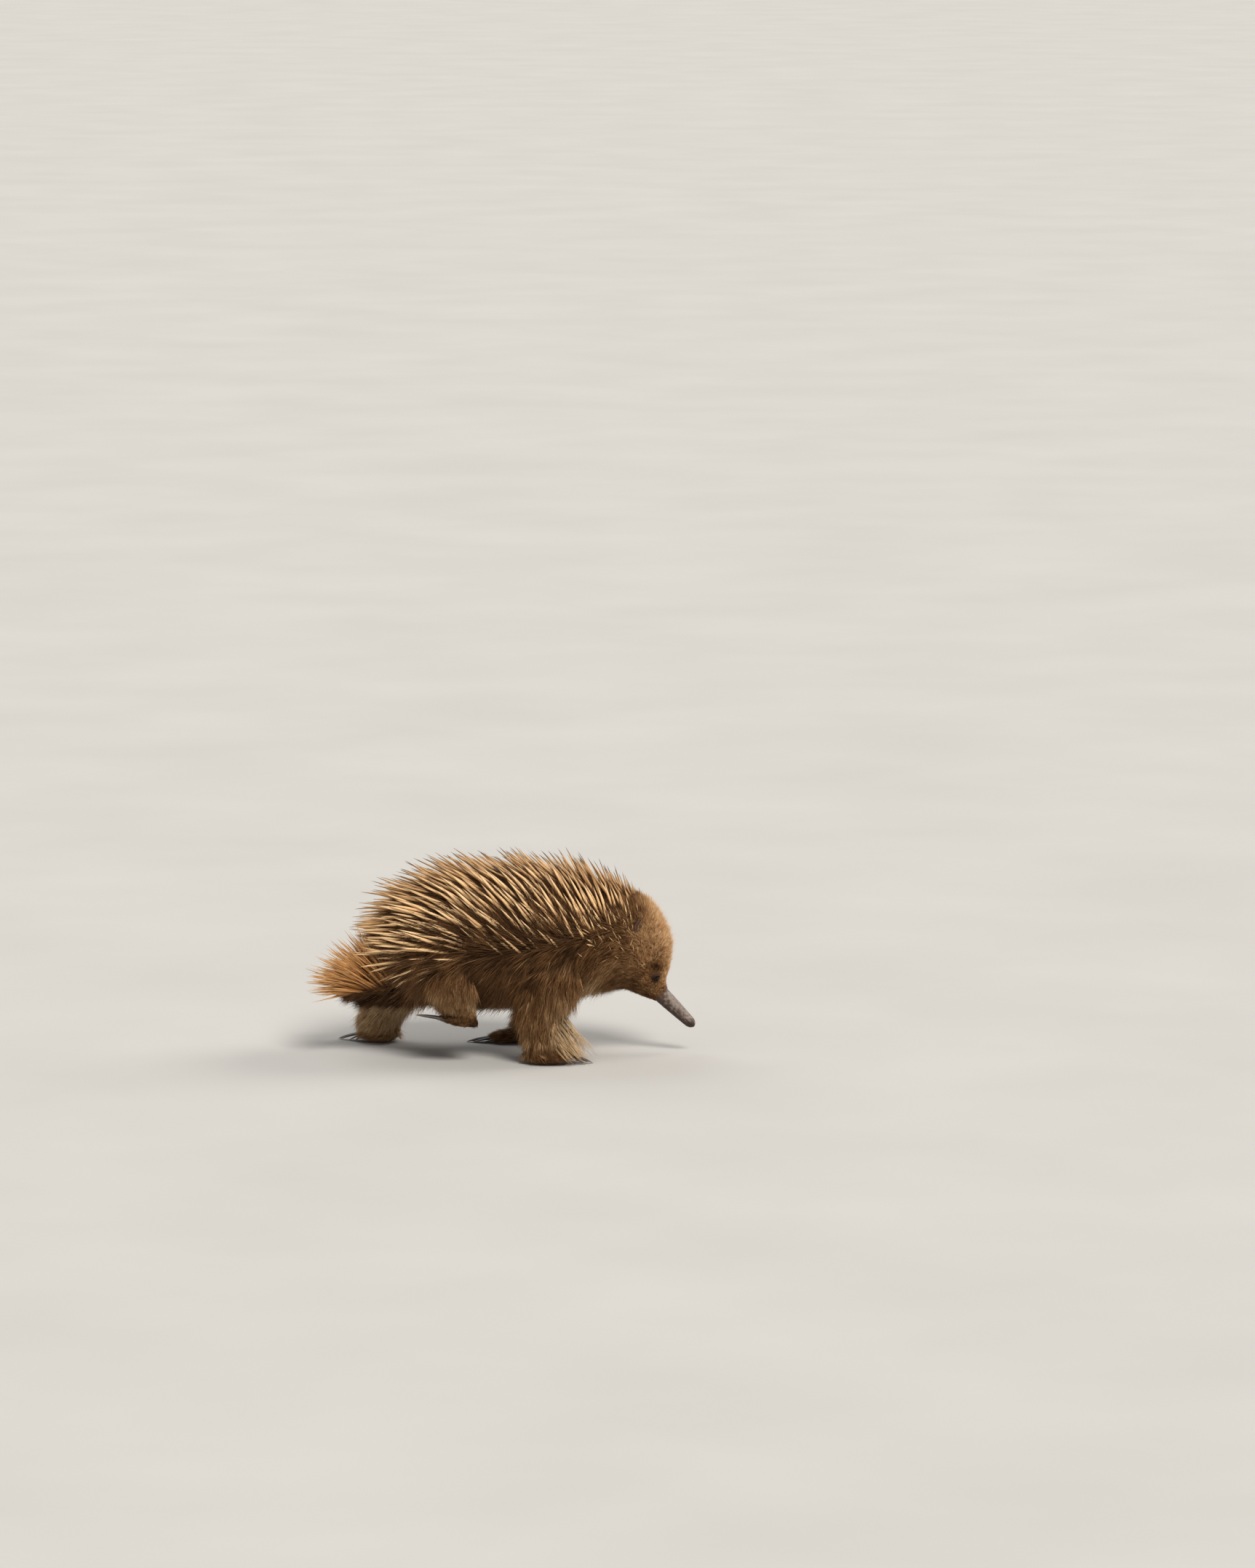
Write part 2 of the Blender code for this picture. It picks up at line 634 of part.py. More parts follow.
def make_tail():
    """The tail stub, rounded at its end and cut clear of the body."""
    rings = []
    for t in spaced(0.0, 0.99 * TAIL_END, 9):
        over = max((t - TAIL_ROUNDED_FROM) / (TAIL_END - TAIL_ROUNDED_FROM), 0.0)
        shrink = math.sqrt(1 - over**2)
        rings.append([tail_point(t, 2 * math.pi * j / TAIL_SIDES, shrink) for j in range(TAIL_SIDES)])
    rings.append([tail_point(TAIL_END, 0.0, 0.0) - Vector((2 * GAP, 0.0, 0.0))])
    tail = skin_over("tail", rings, "tuft")
    boolean(tail, [body_cutter()], "DIFFERENCE")
    return tail


def spine_direction(normal, back, angle, sizes, x):
    """Where a spine of the body points, from its place."""
    stand, slant, droop = sizes
    turned = math.degrees(abs(angle))
    lift = math.radians(stand + (SPINE_FLANK_LIFT - stand) * ease(turned / 75.0))
    low = ease((turned - 78.0) / 32.0) * ease(-x / 0.06)
    slant = math.radians(slant * ease(turned / 55.0) * (1 - low) - droop * low)
    up_flank = normal.cross(back).normalized()
    if up_flank.z < 0:
        up_flank = -up_flank
    lie = back * math.cos(slant) + up_flank * math.sin(slant)
    return (lie * math.cos(lift) + normal * math.sin(lift)).normalized()


def mantle_places(rng, first, last, spacing):
    """Stations and angles of the spines, in staggered rows about one spacing apart."""
    places = []
    t = first
    row = 0
    while t < last:
        x, _, _, high, wide = smooth(BODY, t)
        limit = math.radians(along(MANTLE, x)[0])
        share = min(t / RUMP_ROUNDING, 1.0)
        radius = 0.5 * (high + wide) * math.sqrt(1 - (1 - share) ** 2)
        count = max(int(radius * limit / spacing), 1)
        for k in range(-count, count + 1):
            angle = limit * (k + (0.5 if row % 2 else 0.0)) / count
            if abs(angle) > limit:
                continue
            jitter = spacing * rng.uniform(-0.22, 0.22) / max(radius, 0.01)
            places.append((max(t + rng.uniform(-0.07, 0.07), 0.12), angle + jitter))
        ahead = 0.05
        run = (body_point(t + ahead, 0.0) - body_point(t, 0.0)).length / ahead
        t += spacing * 0.9 / run
        row += 1
    return places


def place_spine(tree, root, normal, direction, length, radius, finish):
    """A spine bent up until it is clear of the other nodes, or none where it never is."""
    for _ in range(SPINE_TRIES):
        points = [root + direction * s for s in spaced(-SPINE_SUNK, length, 26)]
        if is_clear(tree, points, radius + CLEAR):
            return [spine_object(root, direction, length, radius, finish)]
        direction = (direction + normal * SPINE_RAISE).normalized()
    return []


def wobble(rng, amount):
    return Vector([rng.uniform(-amount, amount) for _ in range(3)])


def grow_spines(rng, node, places, finish):
    """Spines of the body at the given stations and angles, fused to the node."""
    tree = surroundings(node)
    made = []
    for t, angle in places:
        root, normal, back = body_frame(t, angle)
        _, stand, slant, droop, length, radius = along(MANTLE, root.x)
        direction = spine_direction(normal, back, angle, (stand, slant, droop), root.x)
        direction = (direction + wobble(rng, 0.07)).normalized()
        length *= rng.uniform(0.86, 1.1)
        radius *= rng.uniform(0.88, 1.1)
        made += place_spine(tree, root, normal, direction, length, radius, finish)
    boolean(node, made, "UNION", "MANIFOLD")


def grow_tuft(rng, tail):
    """The fan of finer spines over the tail, more upright at its root and flat at its end."""
    tree = surroundings(tail)
    made = []
    for row in range(TUFT_ROWS):
        share = row / (TUFT_ROWS - 1)
        t = TUFT_FIRST + (TUFT_LAST - TUFT_FIRST) * share
        count = TUFT_ROW_SPINES - row
        for k in range(count):
            angle = TUFT_EDGE * (2 * (k + 0.5) / count - 1)
            root = tail_point(t, angle, 0.93 if share > 0.8 else 1.0)
            normal = Vector((-0.3 - share, math.sin(angle), math.cos(angle))).normalized()
            rise = TUFT_HIGH + (TUFT_LOW - TUFT_HIGH) * (0.7 * share + 0.3 * abs(math.sin(angle)))
            rise = math.radians(rise + rng.uniform(-7, 7))
            yaw = math.radians(TUFT_SPREAD * math.sin(angle) + rng.uniform(-5, 5))
            flat = Vector((-math.cos(yaw), math.sin(yaw), 0.0))
            direction = flat * math.cos(rise) + Vector((0.0, 0.0, math.sin(rise)))
            length = TUFT_LENGTH * rng.uniform(0.82, 1.06)
            made += place_spine(tree, root, normal, direction, length, TUFT_RADIUS, "tuft")
    for t in TAIL_LOCK_STATIONS:
        for turned in TAIL_LOCK_ANGLES:
            angle = math.radians(turned + rng.uniform(-8, 8))
            root = tail_point(t, angle, 0.95 if t > 2.2 else 1.0)
            normal = Vector((-0.2, math.sin(angle), math.cos(angle))).normalized()
            lie = Vector((-1.0, 0.3 * math.sin(angle), -0.5)) + wobble(rng, 0.1)
            lie = (lie - normal * lie.dot(normal)).normalized()
            made += place_lock(rng, tree, root, normal, lie, TAIL_LOCK, "tuft")
    boolean(tail, made, "UNION", "MANIFOLD")


def place_lock(rng, tree, root, normal, lie, sizes, finish):
    """A lock along the lie of the coat, raised until it is clear of the other nodes, or none."""
    length, width, thick, stand = sizes
    length *= rng.uniform(0.82, 1.12)
    width *= rng.uniform(0.85, 1.12)
    stand = math.radians(stand)
    for _ in range(LOCK_TRIES):
        direction = (lie * math.cos(stand) + normal * math.sin(stand)).normalized()
        side = lock_axes(direction, normal)[0]
        droop = -normal * LOCK_DROOP + Vector((0, 0, -0.4 * LOCK_DROOP))
        points = []
        for u in spaced(-LOCK_SUNK / length, 1.0, 15):
            centre = root + direction * length * u + droop * length * max(u, 0.0) ** 2
            reach = width * 0.5 * (1.0 - max(u, 0.0) ** 2)
            points += [centre, centre + side * reach, centre - side * reach]
        if is_clear(tree, points, thick * 0.5 + CLEAR):
            return [lock_object(root, direction, normal, (length, width, thick), droop, finish)]
        stand += LOCK_RAISE
    return []


def grow_limb_locks(rng, limb, rows, stations, around, lean):
    """Rows of locks down a limb, staggered and swept back. The first row has only its outer half."""
    tree = surroundings(limb)
    made = []
    outward = 1.0 if rows[0][1] > 0 else -1.0
    for j, t in enumerate(stations):
        centre, down, fore, side, half_fore, half_side = limb_frames(rows, 1, t)[0]
        for k in range(around):
            angle = 2 * math.pi * (k + 0.5 * (j % 2) + rng.uniform(-0.15, 0.15)) / around
            if j == 0 and side.y * outward * math.sin(angle) < 0:
                continue
            root = centre + fore * half_fore * math.cos(angle) + side * half_side * math.sin(angle)
            normal = (fore * math.cos(angle) / half_fore + side * math.sin(angle) / half_side).normalized()
            lie = (down + fore * lean + wobble(rng, 0.12)).normalized()
            lie = (lie - normal * lie.dot(normal)).normalized()
            made += place_lock(rng, tree, root, normal, lie, LEG_LOCK, "fur")
    boolean(limb, made, "UNION", "MANIFOLD")


def skirt_locks(rng, torso):
    """Long hair along the flank below the spines, which hangs down and back."""
    tree = surroundings(torso)
    made = []
    for sign in (-1, 1):
        for j, turned in enumerate(SKIRT_ANGLES):
            for t in spaced(SKIRT_FIRST + 0.2 * (j % 2), SKIRT_LAST, SKIRT_COUNT):
                root, normal, back = body_frame(t, sign * math.radians(turned))
                around = normal.cross(back).normalized()
                around = -around if around.z > 0 else around
                lie = (back * 0.7 + around + wobble(rng, 0.15)).normalized()
                lie = (lie - normal * lie.dot(normal)).normalized()
                made += place_lock(rng, tree, root, normal, lie, SKIRT_LOCK, "mantle")
    return made


def main():
    clear_scene()
    rng = random.Random(SEED)
    for name in FEET:
        make_foot(name)
    fore_right = make_limb(("upper_foreleg_right", "forearm_right"), FORE_RIGHT, "forepaw_right")
    fore_left = make_limb(("upper_foreleg_left", "forearm_left"), FORE_LEFT, "forepaw_left")
    hind_right = make_limb(("thigh_right", "shank_right"), HIND_RIGHT, "hindpaw_right")
    hind_left = make_limb(("thigh_left", "shank_left"), HIND_LEFT, "hindpaw_left")
    tail = make_tail()
    head = make_head()
    make_beak()
    for sign, side in ((-1, "right"), (1, "left")):
        make_eye("eye_" + side, sign)
        make_ear("ear_" + side, sign)
    neck = body_part("neck", spaced(NECK_REAR, NECK_FRONT, 5), "face", GAP)
    torso = body_part("torso", torso_stations(), "mantle")
    grow_spines(rng, torso, mantle_places(rng, 0.14, NECK_REAR - 0.12, SPINE_SPACING), "mantle")
    grow_spines(rng, neck, mantle_places(rng, NECK_REAR + 0.15, NECK_FRONT - 0.1, NECK_SPACING), "mantle")
    grow_spines(rng, head, mantle_places(rng, NECK_FRONT + 0.15, CROWN_END, CROWN_SPACING), "mantle")
    grow_tuft(rng, tail)
    for (upper, lower), rows, lean in (
        (fore_right, FORE_RIGHT, -0.15),
        (fore_left, FORE_LEFT, -0.15),
        (hind_right, HIND_RIGHT, -0.35),
        (hind_left, HIND_LEFT, -0.2),
    ):
        grow_limb_locks(rng, upper, rows, UPPER_LOCK_ROWS, 8, lean)
        grow_limb_locks(rng, lower, rows, LOWER_LOCK_ROWS, 8, lean)
    boolean(torso, skirt_locks(rng, torso), "UNION", "MANIFOLD")


main()
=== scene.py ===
import bpy
import numpy as np
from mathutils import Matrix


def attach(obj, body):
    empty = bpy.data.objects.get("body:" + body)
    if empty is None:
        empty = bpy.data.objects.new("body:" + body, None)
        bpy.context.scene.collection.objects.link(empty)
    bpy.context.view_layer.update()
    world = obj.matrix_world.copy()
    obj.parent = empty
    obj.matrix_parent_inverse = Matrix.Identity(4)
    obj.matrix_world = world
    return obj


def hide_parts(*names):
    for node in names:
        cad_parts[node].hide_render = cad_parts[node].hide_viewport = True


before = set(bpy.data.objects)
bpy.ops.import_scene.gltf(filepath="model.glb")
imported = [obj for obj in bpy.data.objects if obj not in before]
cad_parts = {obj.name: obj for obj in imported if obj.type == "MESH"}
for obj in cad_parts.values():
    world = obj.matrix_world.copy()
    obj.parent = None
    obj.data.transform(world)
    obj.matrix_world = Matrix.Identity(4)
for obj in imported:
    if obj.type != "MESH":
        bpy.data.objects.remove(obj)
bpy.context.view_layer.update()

# The hide
# One loose hide runs from the rump to the beak and down to the toes, under the spines and the fur.
# It is one closed surface: body, legs, paws, toes and tail are lofts, fused, and smoothed where they join.
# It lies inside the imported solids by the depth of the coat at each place.

# From rump to beak root: x, z, pitch in degrees with the nose up, half height, half width
BODY = (
    (-0.1260, 0.1050, 24.0, 0.0480, 0.0560),
    (-0.0900, 0.1140, 13.0, 0.0590, 0.0670),
    (-0.0450, 0.1220, 3.0, 0.0680, 0.0790),
    (0.0000, 0.1240, 0.0, 0.0710, 0.0820),
    (0.0450, 0.1255, 0.0, 0.0695, 0.0770),
    (0.0800, 0.1275, -5.0, 0.0630, 0.0650),
    (0.1076, 0.1250, -15.0, 0.0595, 0.0530),
    (0.1321, 0.1162, -28.0, 0.0545, 0.0445),
    (0.1492, 0.1015, -41.0, 0.0430, 0.0355),
    (0.1580, 0.0822, -50.0, 0.0280, 0.0245),
    (0.1634, 0.0700, -46.0, 0.0160, 0.0150),
    (0.1709, 0.0613, -45.0, 0.0094, 0.0098),
)
RUMP_ROUNDING = 1.15
BEAK_ROOT = 11.0

# How deep the hide lies inside the solids, by station along the body
DEPTH_STATIONS = (0.0, 4.5, 5.5, 6.5, 7.6, 8.6, 9.3, 10.0, 10.5, 11.0)
DEPTHS = (0.0020, 0.0025, 0.0035, 0.0052, 0.0070, 0.0064, 0.0036, 0.0018, 0.0017, 0.0015)
LIMB_STATIONS, LIMB_DEPTHS = (0.0, 2.4, 4.0), (0.0055, 0.0050, 0.0020)
PAW_DEPTH, TAIL_DEPTH = 0.0012, 0.0020

# Where the eyes sit, and the low mound of hide round each
EYE_STATION, EYE_ANGLE = 9.18, np.radians(74.3)
EYE_RUN, EYE_ROUND, EYE_MOUND = 0.0215, 0.0340, 0.0085
# Where the ears sit, and the hollow of hide in each
EAR_STATION, EAR_ANGLE = 6.98, np.radians(54.0)
EAR_RUN, EAR_ROUND, EAR_HOLLOW, EAR_DEEP = 0.0262, 0.0480, (0.0034, 0.0080), 0.0040

# Each limb from the body to its paw: x, y, z, half fore and aft, half across. The animal's right is -Y.
LIMBS = {
    "foreleg_right": (
        (0.0490, -0.0440, 0.1120, 0.0390, 0.0290),
        (0.0460, -0.0590, 0.0850, 0.0370, 0.0265),
        (0.0410, -0.0660, 0.0560, 0.0295, 0.0230),
        (0.0425, -0.0690, 0.0330, 0.0235, 0.0200),
        (0.0470, -0.0695, 0.0150, 0.0205, 0.0175),
    ),
    "foreleg_left": (
        (0.0500, 0.0440, 0.1120, 0.0370, 0.0290),
        (0.0520, 0.0600, 0.0840, 0.0330, 0.0255),
        (0.0470, 0.0660, 0.0570, 0.0265, 0.0220),
        (0.0350, 0.0655, 0.0360, 0.0205, 0.0180),
        (0.0190, 0.0635, 0.0125, 0.0140, 0.0145),
    ),
    "hindleg_right": (
        (-0.0560, -0.0420, 0.1180, 0.0330, 0.0300),
        (-0.0530, -0.0600, 0.0950, 0.0320, 0.0270),
        (-0.0490, -0.0680, 0.0720, 0.0270, 0.0220),
        (-0.0410, -0.0700, 0.0560, 0.0155, 0.0150),
        (-0.0360, -0.0700, 0.0440, 0.0105, 0.0115),
    ),
    "hindleg_left": (
        (-0.0860, 0.0420, 0.1120, 0.0360, 0.0290),
        (-0.1000, 0.0560, 0.0860, 0.0330, 0.0265),
        (-0.1170, 0.0620, 0.0580, 0.0285, 0.0235),
        (-0.1325, 0.0650, 0.0330, 0.0235, 0.0205),
        (-0.1385, 0.0665, 0.0140, 0.0205, 0.0180),
    ),
}
# Each paw: heel x and y, height of its sole, heading and pitch of the toes in degrees, length, half width,
# height
PAWS = {
    "forepaw_right": (0.0240, -0.0690, 0.0, -4.0, 0.0, 0.0470, 0.0195, 0.0250),
    "forepaw_left": (0.0300, 0.0625, 0.0, 183.0, 0.0, 0.0460, 0.0160, 0.0155),
    "hindpaw_right": (-0.0260, -0.0700, 0.0370, 184.0, 11.0, 0.0450, 0.0125, 0.0130),
    "hindpaw_left": (-0.1160, 0.0620, 0.0, 168.0, 0.0, 0.0430, 0.0180, 0.0220),
}
SOLE_AXIS, PAW_TOP, PAW_SLOPE, PAW_FULLNESS = 0.42, 0.58, 0.16, 0.375
TOE_HEIGHT, TOE_LINE, TOE_LINE_CURVE = 0.34, 0.97, 0.16
# Toes: sideways place as a share of the paw's half width, fan in degrees, and the claw's length, half width
# and half depth
FORE_TOES = np.array((
    (-0.78, 16.0, 0.0150, 0.0018, 0.0014),
    (-0.42, 8.0, 0.0235, 0.0025, 0.0017),
    (0.00, 1.0, 0.0270, 0.0027, 0.0018),
    (0.42, -6.0, 0.0245, 0.0025, 0.0017),
    (0.78, -14.0, 0.0160, 0.0018, 0.0014),
))
HIND_TOES = np.array((
    (-0.76, 14.0, 0.0090, 0.0015, 0.0013),
    (-0.40, 7.0, 0.0290, 0.0021, 0.0017),
    (0.00, 0.0, 0.0230, 0.0020, 0.0016),
    (0.40, -8.0, 0.0150, 0.0017, 0.0014),
    (0.76, -16.0, 0.0110, 0.0015, 0.0013),
))
CLAW_SUNK = 0.0060
TOE_REACH, TOE_EXTRA = 0.0075, 0.0016
# The tail stub: x, z, half height, half width
TAIL = (
    (-0.0950, 0.0800, 0.0240, 0.0300),
    (-0.1240, 0.0735, 0.0180, 0.0250),
    (-0.1470, 0.0695, 0.0145, 0.0200),
    (-0.1630, 0.0685, 0.0095, 0.0130),
)
TAIL_ROUNDED_FROM, TAIL_END = 2.2, 3.0
VOXEL, SMOOTHINGS = 0.0018, 11
UP = np.array([0.0, 0.0, 1.0])
AHEAD = np.array([1.0, 0.0, 0.0])


def unit(v):
    """Each vector divided by its length."""
    return v / np.maximum(np.linalg.norm(v, axis=-1, keepdims=True), 1e-12)


def fade(x, start, full):
    """0 at the start and before it, 1 at full and past it, with an S between: 3u squared less 2u cubed."""
    u = np.clip((x - start) / (full - start), 0.0, 1.0)
    return u * u * (3 - 2 * u)


def mixed(first, second, share):
    """The first value where the share is 0, the second where it is 1, and in proportion between."""
    return first * (1 - share) + second * share


def oval(first, second, turn, wide=1.0, high=1.0):
    """The first direction by wide times the cosine of the turn, and the second by high times its sine.

    With both sizes 1 it is the first direction, turned by that angle towards the second.
    """
    return first * (wide * np.cos(turn))[..., None] + second * (high * np.sin(turn))[..., None]


def through(rows, t):
    """Sizes at stations t: a cubic between two rows, its slopes half the steps between their neighbours."""
    rows = np.asarray(rows, float)
    t = np.clip(np.asarray(t, float), 0.0, len(rows) - 1.0)
    i = np.minimum(t.astype(int), len(rows) - 2)
    u = (t - i)[..., None]
    slope = np.gradient(rows, axis=0)
    start = (2 * u**3 - 3 * u**2 + 1) * rows[i] + (u**3 - 2 * u**2 + u) * slope[i]
    return start + (3 * u**2 - 2 * u**3) * rows[i + 1] + (u**3 - u**2) * slope[i + 1]


def hide_depth(t, angle):
    """Depth of the hide: read between listed stations, less in a bell at each eye, more at each ear."""
    depth = np.interp(t, DEPTH_STATIONS, DEPTHS)
    along, around = (t - EYE_STATION) * EYE_RUN, (np.abs(angle) - EYE_ANGLE) * EYE_ROUND
    depth = depth * (1 - 0.85 * np.exp(-(along**2 + around**2) / EYE_MOUND**2))
    return depth + EAR_DEEP * np.exp(-ear_off(t, angle))


def ear_off(t, angle):
    """The squared distance from the middle of the nearer ear, as a share of its hollow's half sizes."""
    along, around = (t - EAR_STATION) * EAR_RUN, (np.abs(angle) - EAR_ANGLE) * EAR_ROUND
    return (along / EAR_HOLLOW[0]) ** 2 + (around / EAR_HOLLOW[1]) ** 2


def rump_share(t):
    """How far a station is along the rounding of the rump, from 0 at its end to 1 where the body is full."""
    return np.clip(t / RUMP_ROUNDING, 0.0, 1.0)


def body_surface(t, angle, depth=0.0):
    """Points of the body: ellipses across it, closed over the rump in a quarter circle, less the depth."""
    x, z, pitch, high, wide = np.moveaxis(through(BODY, t), -1, 0)
    pitch = np.radians(pitch)
    share = rump_share(t)
    closing = np.sqrt(1 - (1 - share) ** 2)
    up = np.maximum(high * closing - depth, 0.0) * np.cos(angle)
    out = np.maximum(wide * closing - depth, 0.0) * np.sin(angle)
    x = x + np.cos(pitch) * depth * (1 - share) - np.sin(pitch) * up
    z = z + np.sin(pitch) * depth * (1 - share) + np.cos(pitch) * up
    return np.stack([x, out, z], -1)


def limb_surface(rows, t, angle, depth=0.0):
    """Points of a limb: ellipses square to its bent middle line, one axis forwards, less the depth."""
    sizes = through(rows, t)
    down = unit(through(rows, t + 0.05)[..., :3] - through(rows, t - 0.05)[..., :3])
    fore = unit(AHEAD - down * down[..., :1])
    side = np.cross(down, fore)
    return sizes[..., :3] + oval(fore, side, angle, sizes[..., 3] - depth, sizes[..., 4] - depth)


def paw_axes(paw):
    """Heel, and the forward, sideways and upward directions of a paw, from its heading and pitch."""
    x, y, sole, heading, pitch = PAWS[paw][:5]
    heading, pitch = np.radians(heading), np.radians(pitch)
    ahead = np.array([np.cos(heading) * np.cos(pitch), np.sin(heading) * np.cos(pitch), np.sin(pitch)])
    side = np.array([-np.sin(heading), np.cos(heading), 0.0])
    return np.array([x, y, sole]), ahead, side, np.cross(ahead, side)


def paw_surface(paw, share, angle, depth=0.0):
    """Points of a low paw: half ellipses over a flat sole, which swell and close from heel to toes."""
    heel, ahead, side, up = paw_axes(paw)
    length, half_wide, height = PAWS[paw][5:]
    bulge = np.maximum(1 - (2 * share - 1) ** 2, 0.0) ** PAW_FULLNESS
    low = np.maximum(height * (PAW_TOP - PAW_SLOPE * share) * bulge - depth, 0.0)
    rise = np.maximum(height * SOLE_AXIS + low * np.sin(angle), 0.0)
    out = np.maximum(half_wide * bulge - depth, 0.0) * np.cos(angle)
    forward = (length * share)[..., None]
    return heel + ahead * forward + side * out[..., None] + up * rise[..., None]


def tail_surface(t, angle, depth=0.0):
    """Points of the tail: upright ellipses, which close at its end as a quarter circle, less the depth."""
    x, z, high, wide = np.moveaxis(through(TAIL, t), -1, 0)
    over = (t - TAIL_ROUNDED_FROM) / (TAIL_END - TAIL_ROUNDED_FROM)
    closing = np.sqrt(np.maximum(1 - np.clip(over, 0.0, 1.0) ** 2, 0.0))
    up = np.maximum(high * closing - depth, 0.0) * np.cos(angle)
    out = np.maximum(wide * closing - depth, 0.0) * np.sin(angle)
    return np.stack([x, out, z + up], -1)


def toe_roots(paw):
    """Root and direction of each claw, in the order of the toes, the first on the animal's inner side."""
    heel, ahead, side, up = paw_axes(paw)
    length, half_wide, height = PAWS[paw][5:]
    fore = paw.startswith("fore")
    toes = FORE_TOES if fore else HIND_TOES
    hand = (-1.0 if paw.endswith("right") else 1.0) * (-1.0 if fore else 1.0)
    way = oval(ahead, side, np.radians(toes[:, 1] * hand))
    forward = length * (TOE_LINE - TOE_LINE_CURVE * np.abs(toes[:, :1])) - CLAW_SUNK
    root = heel + ahead * forward + side * half_wide * toes[:, :1] * hand + up * height * TOE_HEIGHT
    return root, way, toes


def grid(first, last, rows, sides):
    """Stations from first to last against angles right round, up to half a turn either way."""
    turns = np.linspace(0.0, 2 * np.pi, sides, endpoint=False)
    turns = np.where(turns > np.pi, turns - 2 * np.pi, turns)
    return np.meshgrid(np.linspace(first, last, rows), turns, indexing="ij")


def bands(rings, sides):
    """Triangles between each ring of points and the next, the points numbered ring by ring."""
    ring, side = np.meshgrid(np.arange(rings - 1), np.arange(sides), indexing="ij")
    a, b = (ring * sides + side).ravel(), (ring * sides + (side + 1) % sides).ravel()
    return np.concatenate([np.stack([a, b, b + sides], -1), np.stack([a, b + sides, a + sides], -1)])


def fan(start, sides, tip):
    """Triangles from the ring of points that begins at the start number to one point at its tip."""
    first, after = np.arange(sides), (np.arange(sides) + 1) % sides
    return np.stack([first + start, after + start, np.full(sides, tip)], -1)


def closed_loft(rings):
    """Points and triangles of a closed loft: each ring joined to the next, each end fanned to its middle."""
    count, sides = rings.shape[:2]
    points = np.concatenate([rings.reshape(-1, 3), rings[:1].mean(axis=1), rings[-1:].mean(axis=1)])
    start = fan(0, sides, count * sides)[:, (1, 0, 2)]
    end = fan((count - 1) * sides, sides, count * sides + 1)
    return points, facing_out(points, np.concatenate([bands(count, sides), start, end]))


def facing_out(points, faces):
    """The triangles, all turned round if together they hold a negative volume."""
    volume = np.linalg.det(points[faces[:, :3]]).sum()
    return faces[:, ::-1] if volume < 0 else faces


def joined(shapes):
    """Several shapes of points and faces as one, each shape's point numbers moved past those before it."""
    starts = np.cumsum([0] + [len(points) for points, _ in shapes[:-1]])
    faces = [faces + start for (_, faces), start in zip(shapes, starts)]
    return np.concatenate([points for points, _ in shapes]), np.concatenate(faces)


def ball(centre, axes, halves, rows=10, sides=14):
    """Rings of an ellipsoid: circles of latitude about its first axis, scaled along the three axes."""
    polar, turn = grid(0.02, np.pi - 0.02, rows, sides)
    parts = (np.cos(polar), np.sin(polar) * np.cos(turn), np.sin(polar) * np.sin(turn))
    return centre + sum((part * half)[..., None] * axis for part, half, axis in zip(parts, halves, axes))


def mesh_object(name, points, faces):
    """A smooth-shaded object from an array of points and one of faces with equally many corners."""
    mesh = bpy.data.meshes.new(name)
    mesh.vertices.add(len(points))
    mesh.vertices.foreach_set("co", np.asarray(points, np.float32).ravel())
    mesh.loops.add(faces.size)
    mesh.loops.foreach_set("vertex_index", np.asarray(faces, np.int32).ravel())
    mesh.polygons.add(len(faces))
    mesh.polygons.foreach_set("loop_start", np.arange(0, faces.size, faces.shape[1], dtype=np.int32))
    mesh.update(calc_edges=True)
    mesh.shade_smooth()
    made = bpy.data.objects.new(name, mesh)
    bpy.context.scene.collection.objects.link(made)
    return made


def read_all(items, name, wide, kind=np.float32):
    """What every item of a mesh holds under a name, as an array with so many numbers to a row."""
    values = np.empty(len(items) * wide, kind)
    items.foreach_get(name, values)
    return values.reshape(-1, wide)


def mark(thing, name, values):
    """Stores one number for each point of a mesh, under a name that materials read."""
    layer = thing.data.attributes.new(name, "FLOAT", "POINT")
    layer.data.foreach_set("value", np.asarray(values, np.float32).ravel())


def settle(thing):
    """Makes the shape that a piece's modifiers give its own mesh."""
    graph = bpy.context.evaluated_depsgraph_get()
    made = bpy.data.meshes.new_from_object(thing.evaluated_get(graph))
    thing.modifiers.clear()
    thing.data = made


def dress(thing, material, slot, *nodes):
    """Gives a piece its material and the body that it rides on, and hides the nodes that it stands for; the
    slot is not used.
    """
    thing.data.materials.append(material)
    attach(thing, "root")
    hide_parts(*nodes)


t, angle = grid(0.02, 10.95, 150, 72)
shapes = [closed_loft(body_surface(t, angle, hide_depth(t, angle)))]
for rows in LIMBS.values():
    t, angle = grid(0.0, 3.97, 40, 40)
    shapes.append(closed_loft(limb_surface(rows, t, angle, np.interp(t, LIMB_STATIONS, LIMB_DEPTHS))))
for paw in PAWS:
    shapes.append(closed_loft(paw_surface(paw, *grid(0.01, 0.99, 36, 40), PAW_DEPTH)))
    roots, ways, toes = toe_roots(paw)
    for root, way, toe in zip(roots, ways, toes):
        across = unit(np.cross(way, UP))
        halves = (TOE_REACH, toe[3] + TOE_EXTRA, toe[4] + TOE_EXTRA)
        shapes.append(closed_loft(ball(root, (way, across, np.cross(across, way)), halves)))
shapes.append(closed_loft(tail_surface(*grid(0.0, TAIL_END, 30, 40), TAIL_DEPTH)))

hide = mesh_object("hide", *joined(shapes))
fuse = hide.modifiers.new("fuse", "REMESH")
fuse.mode = "VOXEL"
fuse.voxel_size = VOXEL
fuse.use_smooth_shade = True
relax = hide.modifiers.new("relax", "SMOOTH")
relax.factor = 0.5
relax.iterations = SMOOTHINGS
settle(hide)

hide_points = read_all(hide.data.vertices, "co", 3).astype(float)
hide_points[:, 2] = np.maximum(hide_points[:, 2], 0.0)
hide.data.vertices.foreach_set("co", hide_points.astype(np.float32).ravel())
hide.data.update()

